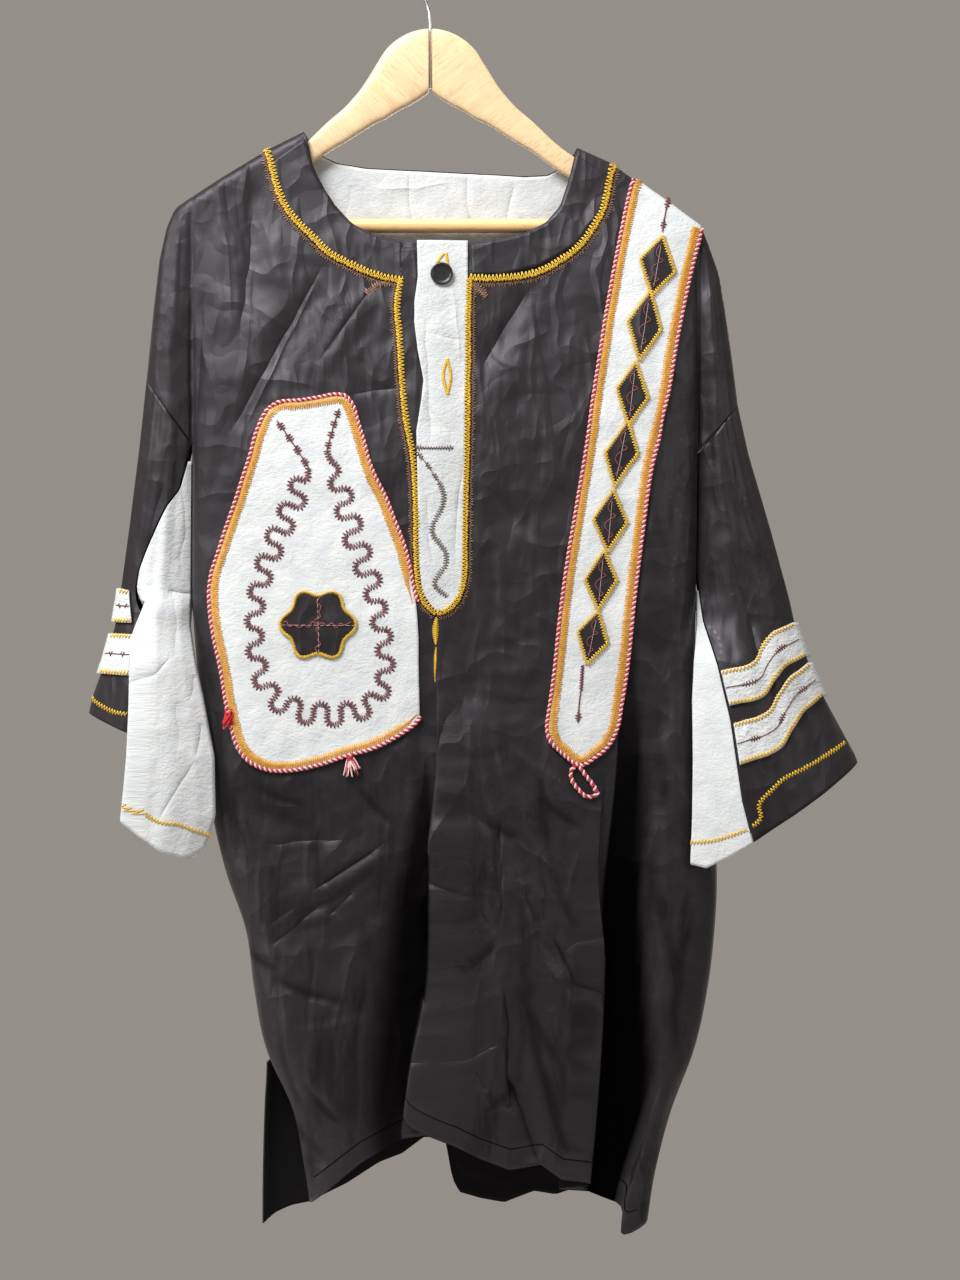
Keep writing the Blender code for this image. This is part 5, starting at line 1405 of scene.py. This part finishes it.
# the patch's border, counter-clockwise from its lower right corner under the fold round to the fold again
patchRim = [
    (-8, -666), (-14.3, -673), (-27.5, -682.2), (-47.5, -692.2), (-68, -697.8), (-92.6, -705.8),
    (-119.5, -710.8), (-137, -709.2), (-150.2, -702.7), (-159, -691.8), (-164.6, -674), (-169, -653.7),
    (-173.5, -626.5), (-179.2, -599.5), (-182.6, -577), (-183.3, -561.5), (-181.6, -547), (-175.9, -529),
    (-170.3, -510.8), (-163.4, -490.5), (-155.6, -465.5), (-149.9, -447.5), (-144.2, -427),
    (-136.6, -411), (-131, -405), (-108, -401.4), (-92, -398.8), (-78, -396.5), (-71, -397.6),
    (-66.8, -402), (-59.8, -421.2), (-54.2, -439.3), (-51.4, -450.5), (-46.2, -464.3), (-37.1, -482.5),
    (-29.1, -503), (-21.4, -523), (-16.8, -541), (-13.9, -556.8), (-10.5, -570),
]
stripRim = [
    (172.4, -212), (169, -226), (164, -249), (157, -284), (150, -322), (144, -359), (138, -397),
    (133, -434), (124.6, -485), (116, -535), (109.4, -585), (104, -635), (100.4, -662), (99, -676),
    (102, -687), (112, -697), (126, -706), (140, -698), (149, -690), (156, -677), (160, -655),
    (163, -636), (168, -594), (173, -552), (179, -505), (185.4, -459), (191.6, -430), (199, -400),
    (205, -362), (212, -325), (219, -293), (225, -268), (228.5, -253),
]


# satin borders just inside the rims, and two twisted yarns just outside
def borders():
    inward = stitching["satin"][0] / 2 + 0.6
    # the patch's border narrows where it runs under the centre fold
    def underFold(at):
        return ease(at / 0.03) * ease((1 - at) / 0.05)
    patchSatin = [zigzag(movedLine(patchRim, -inward), "satin", onPatch, underFold, uneven=0.2)]
    stripSatin = [zigzag(movedLine(stripRim, inward), "satin", onStrip, uneven=0.2)]
    threads("patchSatinBorder", patchSatin, "satin", amberThread)
    threads("stripSatinBorder", stripSatin, "satin", amberThread)
    for name, rim, aside in (("patchCord", patchRim, 0.6), ("stripCord", stripRim, -0.6)):
        line = movedLine(rim, aside)
        for yarn, phase, material in (("Red", 0.0, redYarn), ("Pink", np.pi, pinkYarn)):
            path = strand(line, phase, 0.85, 4.3, above(onPiece, 0.2))
            threads(name + yarn, [path], "satin", material, 5, 0.92)


borders()

# centre of the meander: down the left, round below the flower and up the right
meanderLoop = [
    (-101, -458), (-107, -470), (-115, -489), (-127, -514), (-138, -542), (-145, -570), (-146, -600),
    (-142, -628), (-132, -648), (-112, -660), (-90, -664), (-68, -663), (-50, -656), (-39, -640),
    (-37, -612), (-42, -583), (-48, -556), (-58, -530), (-67, -502), (-74, -478), (-80, -459),
    (-86, -443),
]


# bunches of stitches along a thin line: a row of soft pulses
def bunches(count, share):
    def shape(at):
        pulse = np.sin(np.pi * ((at * count) % 1.0)) ** 2
        return 0.10 + 0.9 * ease((pulse - (1 - share)) / 0.35)
    return shape


# the scalloped line: a sine across the loop, its lobes rounded by sliding them along it by a sine of twice
# the turn
def meander():
    x, z, sideX, sideZ, run = lineOf(meanderLoop, 1.0)
    turn = 2 * np.pi * run / run[-1] * 21.5 + 0.5 * np.sin(run / 47)
    swell = ease(run / 16) * ease((run[-1] - run) / 34) * (0.92 + 0.16 * np.sin(run / 31))
    wave, slide = 8.2 * np.sin(turn) * swell, -2.2 * np.sin(2 * turn) * swell
    line = np.stack([x + sideX * wave + sideZ * slide, z + sideZ * wave - sideX * slide], axis=-1)
    paths = [zigzag(line, "meander", onPatch, uneven=0.2)]
    for points in ([(-128, -418), (-116, -435), (-101, -458)], [(-76, -408), (-81, -424), (-86, -443)]):
        paths.append(zigzag(points, "knots", onPatch, shape=bunches(4, 0.75), scale=1.25))
        paths.append(laid(points, above(onPatch, 0.2)))
    threads("patchMeander", paths, "meander", maroonThread)


meander()


# outline, a cross of squiggles (a sine across two lines) and dashes on the flower
def flowerStitches():
    turn = np.linspace(0, 2 * np.pi, 145)
    ringX, ringZ = flowerRim(turn, 1.0)
    paths = [zigzag(np.stack([ringX, ringZ], axis=-1), "rim", onFlower, uneven=0.25)]
    threads("flowerOutline", paths, "rim", goldThread)
    squiggles = []
    for points in ([(-122, -588), (-107, -591), (-93, -588), (-79, -590), (-65, -588)],
                   [(-94, -565), (-91, -577), (-94, -589), (-92, -601), (-94, -613)]):
        x, z, sideX, sideZ, run = lineOf(points, 0.8)
        swing = 2.2 * np.sin(run * 0.8) * (0.6 + 0.4 * np.sin(run * 0.3 + 1))
        squiggles.append(laid(np.stack([x + sideX * swing, z + sideZ * swing], axis=-1), onFlower))
    threads("flowerSquiggles", squiggles, "fringe", claretThread, radius=0.58)
    dashes = []
    for (x0, z0), (x1, z1) in (((-93.5, -563), (-92, -615)), ((-123, -589.5), (-64, -590))):
        for at in np.arange(0, 1, 0.09):
            ends = [(x0 + (x1 - x0) * part, z0 + (z1 - z0) * part) for part in (at, at + 0.06)]
            dashes.append(laid(ends, above(onFlower, 0.3), smooth=False))
    threads("flowerDashes", dashes, "fringe", greyThread, radius=0.28)


flowerStitches()


# outline, squiggle (a sine across the long axis) and line on each diamond, knots above and below
def diamondStitches():
    outlines, squiggles, greys = [], [], []
    for x0, z0, halfWidth, halfHeight, slant, tilt in diamondRows:
        top, foot = (x0 + slant * 1.12, z0 + halfHeight * 1.12), (x0 - slant * 1.12, z0 - halfHeight * 1.12)
        corners = [top, (x0 - halfWidth, z0 + tilt), foot, (x0 + halfWidth, z0 - tilt), top]
        outlines.append(zigzag(corners, "outline", onLozenge, smooth=False, uneven=0.25))
        at = np.linspace(-0.78, 0.78, 50)
        swing = 4.6 * np.sin(at * 9.0) * (1 - np.abs(at)) ** 0.6
        bend = np.stack([x0 + at * slant + swing, z0 + at * halfHeight + 1.5 * np.cos(at * 9)], axis=-1)
        squiggles.append(laid(bend, onLozenge))
        greys.append(laid([(x0 + 0.7 * slant, z0 + 0.7 * halfHeight),
                                         (x0 - 0.8 * slant, z0 - 0.8 * halfHeight)], onLozenge, smooth=False))
    threads("diamondOutlines", outlines, "outline", goldThread)
    threads("diamondSquiggles", squiggles, "fringe", claretThread, radius=0.44)
    threads("diamondLines", greys, "fringe", greyThread, radius=0.26)
    top = [(202, -226), (200.5, -234), (198, -247), (196.5, -257)]
    foot = [(128, -623), (127, -640), (125, -656), (124, -671)]

    # knots near both ends of the short line above, a bar then a heart on the line below
    def topKnots(at):
        return 0.14 + np.exp(-((at - 0.22) / 0.10) ** 2) + np.exp(-((at - 0.80) / 0.10) ** 2)

    def footKnots(at):
        return np.where(at < 0.44, 0.55, 0.14) + 0.9 * np.exp(-((at - 0.90) / 0.07) ** 2)
    paths = [zigzag(top, "knots", onStrip, shape=topKnots),
             laid(top, above(onStrip, 0.3)),
             zigzag(foot, "knots", onStrip, shape=footKnots, scale=1.15),
             laid(foot, above(onStrip, 0.3))]
    threads("stripKnotLines", paths, "meander", maroonThread)


diamondStitches()

# gold line of the neck on each side of the placket, and down both sides of the placket
neckLineLeft = [
    (-138, -186), (-136, -193), (-133, -205), (-128, -222), (-122, -235), (-111, -249), (-99, -261),
    (-86, -274), (-70, -283), (-53, -291), (-37, -296), (-23, -298.5),
]
neckLineRight = [
    (155, -199), (153, -207), (151, -218), (147, -235), (138, -253), (125, -270), (109, -282), (92, -291),
    (75, -295), (58, -296.5), (41, -296.5), (33, -295.5),
]
placketLineLeft = [
    (-24, -297), (-27, -314), (-25, -350), (-23, -384), (-19.5, -418), (-14.5, -444), (-12, -468),
    (-11, -500), (-10.5, -535), (-8, -560), (-4, -570), (6, -580),
]
placketLineRight = [
    (33, -297), (32, -330), (32, -370), (31.5, -420), (30.5, -470), (29.5, -520), (27, -558), (22, -570),
    (14, -577), (6, -580),
]


# gold line, its core nearer the edge and a loose fringe outside, for four lines
def neckStitches():
    paths, core, fringe = [], [], []
    for points, aside, ground in ((neckLineLeft, 1, onPiece), (neckLineRight, -1, onPiece),
                                  (placketLineLeft, 1, onPiece), (placketLineRight, -1, onPlacketEdge)):
        scale = 1.0 if ground is onPiece and points[0][1] > -250 else 0.86
        paths.append(zigzag(points, "neck", above(ground, 0.2), uneven=0.22, scale=scale))
        core.append(zigzag(movedLine(points, -1.5 * aside), "outline", ground, uneven=0.3, scale=0.6))
        fringe.append(zigzag(movedLine(points, -4.6 * aside), "fringe", above(onTunic, 0.4), uneven=0.9,
                             scale=scale))
    for points in ([(-54, -310), (-44, -303), (-31, -299)], [(48, -312), (42, -305), (36, -300)]):
        fringe.append(zigzag(points, "fringe", above(onTunic, 0.5), uneven=0.9, scale=1.3))
        fringe.append(zigzag(movedLine(points, 2.0), "fringe", above(onTunic, 0.3), uneven=0.9))
    threads("neckGoldLine", paths, "neck", goldThread)
    threads("neckGoldCore", core, "outline", goldThread)
    threads("neckRustFringe", fringe, "fringe", rustThread)


neckStitches()


# a filled lens of stitches along points
def lens(points, ground, scale):
    return zigzag(points, "rim", ground, shape=lambda at: 0.15 + np.sin(np.pi * at) ** 0.8,
                  scale=scale)


# gold lenses and brown lines on the placket
def placketStitches():
    gold = [lens([(6, -583), (5, -595), (5.5, -606)], above(onTunic, 0.4), 1.9),
            lens([(6, -608), (5, -622), (4, -637)], above(onTunic, 0.4), 1.6)]
    for bulge in (-1, 1):
        drop = [(14.5, -366), (14.5 + 3.2 * bulge, -380), (15, -396)]
        curl = [(13 + 1.0 * bulge, -276), (10.5 + 4.5 * bulge, -285), (10.5 + 6 * bulge, -291)]
        gold.append(zigzag(drop, "rim", onPlacket, scale=0.95, uneven=0.2))
        gold.append(zigzag(curl, "rim", onPlacket, scale=0.9, uneven=0.35))
    threads("placketGoldStitches", gold, "outline", goldThread)

    # diamond ends on the bar
    def barShape(at):
        ends = np.exp(-((at - 0.10) / 0.06) ** 2) + np.exp(-((at - 0.90) / 0.06) ** 2)
        return 0.55 + 0.6 * ends
    bar = [(-12, -441), (4, -441.5), (20, -441)]
    slant = [(-11, -444), (-2, -455), (8, -470)]
    wavy = [(8, -470), (12, -480), (10, -492), (4, -503), (2, -512), (8, -521), (14, -530), (13, -540),
            (6, -550), (4, -556), (9, -561), (15, -566)]
    paths = [zigzag(bar, "knots", onPlacket, shape=barShape, scale=1.1),
             laid(bar, above(onPlacket, 0.3)),
             zigzag(slant, "knots", onPlacket, shape=bunches(3, 0.8), scale=0.85),
             laid(slant, above(onPlacket, 0.3)),
             zigzag(wavy, "knots", onPlacket, scale=0.95, uneven=0.3)]
    threads("placketBrownStitches", paths, "knots", brownThread, radius=0.30)


placketStitches()


# gold lines at the cuffs, one row for the sleeve and one for the gusset
cuffLines = {
    "Left": ([(-294, -648), (-284, -654), (-272, -660), (-262, -663), (-253, -664)],
             [(-241, -737), (-236, -745), (-224, -753), (-210, -755), (-196, -761), (-183, -766)]),
    "Right": ([(352, -689), (333, -699), (313, -709), (294, -718.5), (284, -728), (274, -739),
               (275.5, -750), (268.5, -757)], [(264, -759.5), (251, -764.5), (236, -769), (218, -771)]),
}
bandLevel = onCloth + 2 * garment["gap"] + garment["trim"] / 2 + 0.45     # threads on a band


# threads of an arm, gathered over its front and back: rows(side, outward) draws one side's
def bothSides(rows):
    return [path for side, outward in ((1, 1), (2, -1)) for path in rows(side, outward)]


# stitches on the arms: gold edges and maroon lines of the bands, gold hem lines
def armStitches(sideName, arm):
    def drawn(line, side, outward, kind, level, **more):
        return zigzag(line, kind, lambda x, z: outward * (level + 0 * x), rise=0.3 * outward,
                      surface=lambda a, b: armPoint(arm, a, b, side), **more)

    # a line along a band at its z over the shares from outer fold to seam
    shares = np.linspace(0.06, 0.985, 26)

    def along(z, side):
        z = z + bandLift(arm, shares, side)
        return np.stack([sleevePlaces(arm, z, shares, bandMargin(arm, side), side), z], axis=-1)
    for number, ((upperOut, lowerOut), (upperIn, lowerIn)) in enumerate(arm["bands"], 1):
        def edges(side, outward):
            return [drawn(along(outZ + (inZ - outZ) * shares - inset, side), side, outward, "hem", bandLevel,
                          uneven=0.25)
                    for outZ, inZ, inset in ((upperOut, upperIn, 1.8), (lowerOut, lowerIn, -1.8))]

        def middle(side, outward):
            outZ, inZ = (upperOut + lowerOut) / 2, (upperIn + lowerIn) / 2
            line = along(outZ + (inZ - outZ) * shares, side)
            knots = bunches(max(2, int(abs(line[0, 0] - line[-1, 0]) / 22)), 0.35)
            return [drawn(line, side, outward, "knots", bandLevel, shape=knots),
                    laid(line, lambda x, z: outward * (bandLevel + 0.25 + 0 * x),
                         surface=lambda a, b: armPoint(arm, a, b, side))]
        band = "band%s%d" % (sideName, number)
        threads(band + "Gold", bothSides(edges), "hem", goldThread)
        threads(band + "Maroon", bothSides(middle), "meander", maroonThread, radius=0.34)

    def cuff(side, outward):
        return [drawn(row, side, outward, "hem", garment["cloth"] / 2 + 0.2, uneven=0.25)
                for row in cuffLines[sideName]]
    threads("cuff%sGold" % sideName, bothSides(cuff), "hem", goldThread)


for sideName, arm in arms.items():
    armStitches(sideName, arm)


# black stitches that hold the turned-up hems: a thread on each panel's sixth row from its foot
def hemStitches():
    for name, surface, side, ends in (("hemStitchFront", frontSurface, 1, 6),
                                      ("hemStitchBack", backSurface, 2, 3)):
        x, z, _ = panelGrid(side)
        lift = (1 if side == 1 else -1) * (garment["cloth"] / 2 + garment["turnUp"] + 0.05)
        path = lifted(surface, x[-6, ends:-ends], z[-6, ends:-ends], lift + 0 * x[-6, ends:-ends])
        threads(name, [path], "hem", blackThread, 6, 0.32)


hemStitches()
print("embroidery ready")

# a turned piece round the Y axis through a centre: rings of a profile's radius and height, poles closed
def turnedMesh(name, profile, centre):
    turn = 2 * np.pi * np.arange(48) / 48
    radius, height = np.array(profile, dtype=float).T
    rings = np.stack([centre[0] + radius[:, None] * np.cos(turn), centre[1] - height[:, None] + 0 * turn,
                      centre[2] + radius[:, None] * np.sin(turn)], axis=-1)
    return ringMesh(name, [rings])


# the button: a turned profile set on the placket
def button():
    centre = lifted(frontSurface, np.array(10.0), np.array(-294.0), onTrim + garment["trim"] / 2 + 2.6)
    profile = [(0.02, -1.2), (7.0, -1.2), (8.6, -1.0), (9.3, -0.5), (9.5, 0.2), (9.4, 0.9), (8.9, 1.4),
               (8.3, 1.5), (7.8, 1.35), (7.3, 0.95), (6.8, 0.7), (6.0, 0.6), (4.0, 0.55), (0.02, 0.5)]
    addPiece("frontButton", turnedMesh("frontButton", profile, centre), buttonBlack, "button")


# loose strands that leave a head together and spread: each bends by its own sine
def tassel():
    head = lifted(frontSurface, np.array(-66.0), np.array(-702.0), 0.0) + np.array([0, -6.0, 3.0])
    red, pink = [], []
    for number in range(26):
        turn = number * 2.399
        spread = 1.8 + 0.7 * (number % 5)
        length = 13 + 4 * np.sin(number * 3.7)
        down = np.linspace(0, 1, 12)
        bend = 1.4 * np.sin(down * 4 + number)
        path = np.stack([head[0] + (0.6 + spread * down) * np.cos(turn) * 1.6 + bend * 0.5 + 2.0 * down,
                         head[1] + (0.5 + spread * down) * np.sin(turn) * 0.9 - 0.5,
                         head[2] - length * down + bend * 0.3], axis=-1)
        (red if number % 3 == 0 else pink).append(path)
    for turn in np.arange(0, 3):
        wound = np.linspace(0, 2 * np.pi, 20)
        red.append(np.stack([head[0] + 2.2 * np.cos(wound), head[1] + 1.8 * np.sin(wound) - 0.4,
                             head[2] - 1.0 - 1.1 * turn + 0.2 * wound], axis=-1))
    for name, strands, material, node in (("patchTasselRed", red, redYarn, "patch_tassel"),
                                          ("patchTasselPink", pink, pinkYarn, None)):
        addPiece(name, tubeMesh(name, strands, 0.7), material, node)


# a tuft of tangled loops round a centre: each loop is a tilted, wavy ring
def tuft():
    centre = lifted(frontSurface, np.array(-166.0), np.array(-668.0), 0.0) + np.array([-2.0, -5.2, 0.0])
    loops = []
    for number in range(20):
        turn = np.linspace(0, 2 * np.pi, 22)
        tilt, size = number * 1.9, 3.6 + 1.6 * np.sin(number * 2.3)
        wave = 0.5 * np.sin(turn * 3 + number)
        a, b = (size + wave) * np.cos(turn), (size * 0.8 + wave) * np.sin(turn)
        x = centre[0] + a * np.cos(tilt) * 0.85 + 1.3 * np.sin(number * 5.1)
        y = centre[1] + 0.55 * b * np.sin(tilt) + 0.8 * np.cos(number * 1.3)
        z = centre[2] + a * np.sin(tilt) + b * np.cos(tilt) + 3.5 * np.sin(number * 0.9)
        loops.append(np.stack([x, y, z], axis=-1))
    addPiece("patchTuft", tubeMesh("patchTuft", loops, 0.62), tuftYarn, "patch_knot")


# a loop of two twisted yarns at the strip's foot
def stripLoop():
    line = [(122.5, -706.5), (118.2, -711), (118.6, -718), (124.6, -727), (131.6, -732.6),
            (137.4, -731.4), (136.6, -724), (130, -714.5), (124.2, -706.5)]
    for name, phase, material, node in (("stripLoopRed", 0.0, redYarn, "strip_loop"),
                                        ("stripLoopPink", np.pi, pinkYarn, None)):
        path = strand(line, phase, 0.95, 5.2, lambda x, z: garment["cloth"] / 2 + 2.2 + 0 * x)
        addPiece(name, tubeMesh(name, [path], 1.0, 6), material, node)


button()
tassel()
tuft()
stripLoop()
print("button, tassel, tuft and loop ready")

# hanger: distance from the middle, top, foot, half thickness of each arm (mm)
armWood = [
    (1.75, -80, -134, 6.5), (6, -80.3, -137, 6.5), (12, -81.5, -141, 6.5), (18, -83.5, -144.5, 6.5),
    (25, -87, -148, 6.4), (32, -92, -152, 6.3), (38, -98, -156, 6.2), (47, -112, -160, 6.0),
    (57, -128, -166, 5.8), (71, -145, -175, 5.6), (88, -160, -185, 5.4), (107, -178, -199, 5.2),
    (140, -200, -219, 5.2), (180, -220, -241, 5.3), (200, -232, -256, 5.3), (208, -238, -258, 4.6),
    (212, -244, -254, 2.6),
]
hangerBar = {"height": -248.0, "radius": 6.0, "halfLength": 192.0}
hangerWire = {"radius": 1.6, "bow": 22.0}


# one wooden half: a rounded rectangle carried out along the arm, sides by powers of cosine and sine
def hangerArm(name, node, sign, material):
    turn = 2 * np.pi * np.arange(48) / 48
    table = np.array(armWood)
    reach = np.interp(np.linspace(0, len(table) - 1, 130), np.arange(len(table)), table[:, 0])
    top, foot, half = (lookUp(armWood, column, reach) for column in (1, 2, 3))
    across, up = np.cos(turn), np.sin(turn)
    flat = np.sign(across) * np.abs(across) ** 0.38
    high = np.sign(up) * np.abs(up) ** 0.62
    rings = np.stack([np.broadcast_to(sign * reach[:, None], (130, 48)), half[:, None] * flat[None, :],
                      (top + foot)[:, None] / 2 + (top - foot)[:, None] / 2 * high[None, :]], axis=-1)
    addPiece(name, ringMesh(name, [rings], sign < 0), material, node)


# two wooden halves, a bar and a wire hook: an arc on a bent stem
def hanger():
    hangerArm("hangerArmLeft", "hanger_arm_left", -1, armWoodLeft)
    hangerArm("hangerArmRight", "hanger_arm_right", 1, armWoodRight)
    reach = np.linspace(-hangerBar["halfLength"], hangerBar["halfLength"], 60)
    path = np.stack([reach, 0 * reach, 0 * reach + hangerBar["height"]], axis=-1)
    addPiece("hangerBar", tubeMesh("hangerBar", [path], hangerBar["radius"], 32), barWood,
             "hanger_bar")
    bow = hangerWire["bow"] + hangerWire["radius"]
    turn = np.linspace(math.radians(215), math.radians(-40), 60)
    loop = np.stack([bow * np.cos(turn), 0 * turn, -hangerWire["bow"] + bow * np.sin(turn)], axis=-1)
    stem = np.array([(0, 0, -130), (0, 0, -100), (0, 0, -75), (-0.6, 0, -66), (-3.5, 0, -56),
                     (-9, 0, -47.5), (-14.5, 0, -41)])
    addPiece("hangerHook", tubeMesh("hangerHook", [np.concatenate([stem, loop])], hangerWire["radius"], 14),
             hookSteel, "hanger_hook")


hanger()
print("hanger ready")

# soft studio light: a large key from the upper left, a fill from the right and one from above
def softLight(name, place, aim, size, power):
    light = bpy.data.lights.new(name, "AREA")
    light.shape, light.size, light.energy = "DISK", size, power
    made = bpy.data.objects.new(name, light)
    made.location = place
    made.rotation_euler = (Vector(aim) - Vector(place)).to_track_quat("-Z", "Y").to_euler()
    bpy.context.scene.collection.objects.link(made)


softLight("keyLight", (-0.8, -1.3, 1.1), (0.02, 0, -0.42), 1.0, 66)
softLight("sideLight", (-1.5, -0.6, 0.3), (-0.26, 0, -0.4), 0.6, 10)
softLight("lowLight", (-1.5, -0.45, -1.0), (-0.05, 0, -0.87), 0.5, 3.5)
softLight("fillLight", (1.8, -1.6, 0.1), (0.02, 0, -0.5), 1.6, 9)
softLight("topLight", (0.1, -0.2, 1.2), (0.02, 0, -0.5), 0.9, 8)
softLight("backLight", (0.3, 2.2, 0.2), (0.02, 0, -0.6), 1.6, 18)
world = bpy.data.worlds.new("studioWorld")
bpy.context.scene.world = world
world.use_nodes = True
world.node_tree.nodes["Background"].inputs["Color"].default_value = (*studio["backGrey"], 1)
bpy.context.scene.view_settings.view_transform = "Standard"

floorMesh = bpy.data.meshes.new("studioFloor")
around = np.linspace(0, 2 * np.pi, 97)[:-1]
ring = np.stack([np.cos(around), np.sin(around), 0 * around], axis=-1) * studio["floorRadius"]
floorMesh.from_pydata((ring + [0.02, 0, studio["floorHeight"]]).tolist(), [], [list(range(96))])
floorPiece = bpy.data.objects.new("studioFloor", floorMesh)
bpy.context.scene.collection.objects.link(floorPiece)
floorMesh.materials.append(newMaterial("floorPale", (0.62, 0.60, 0.58), 0.9)[0])

print("scene ready")
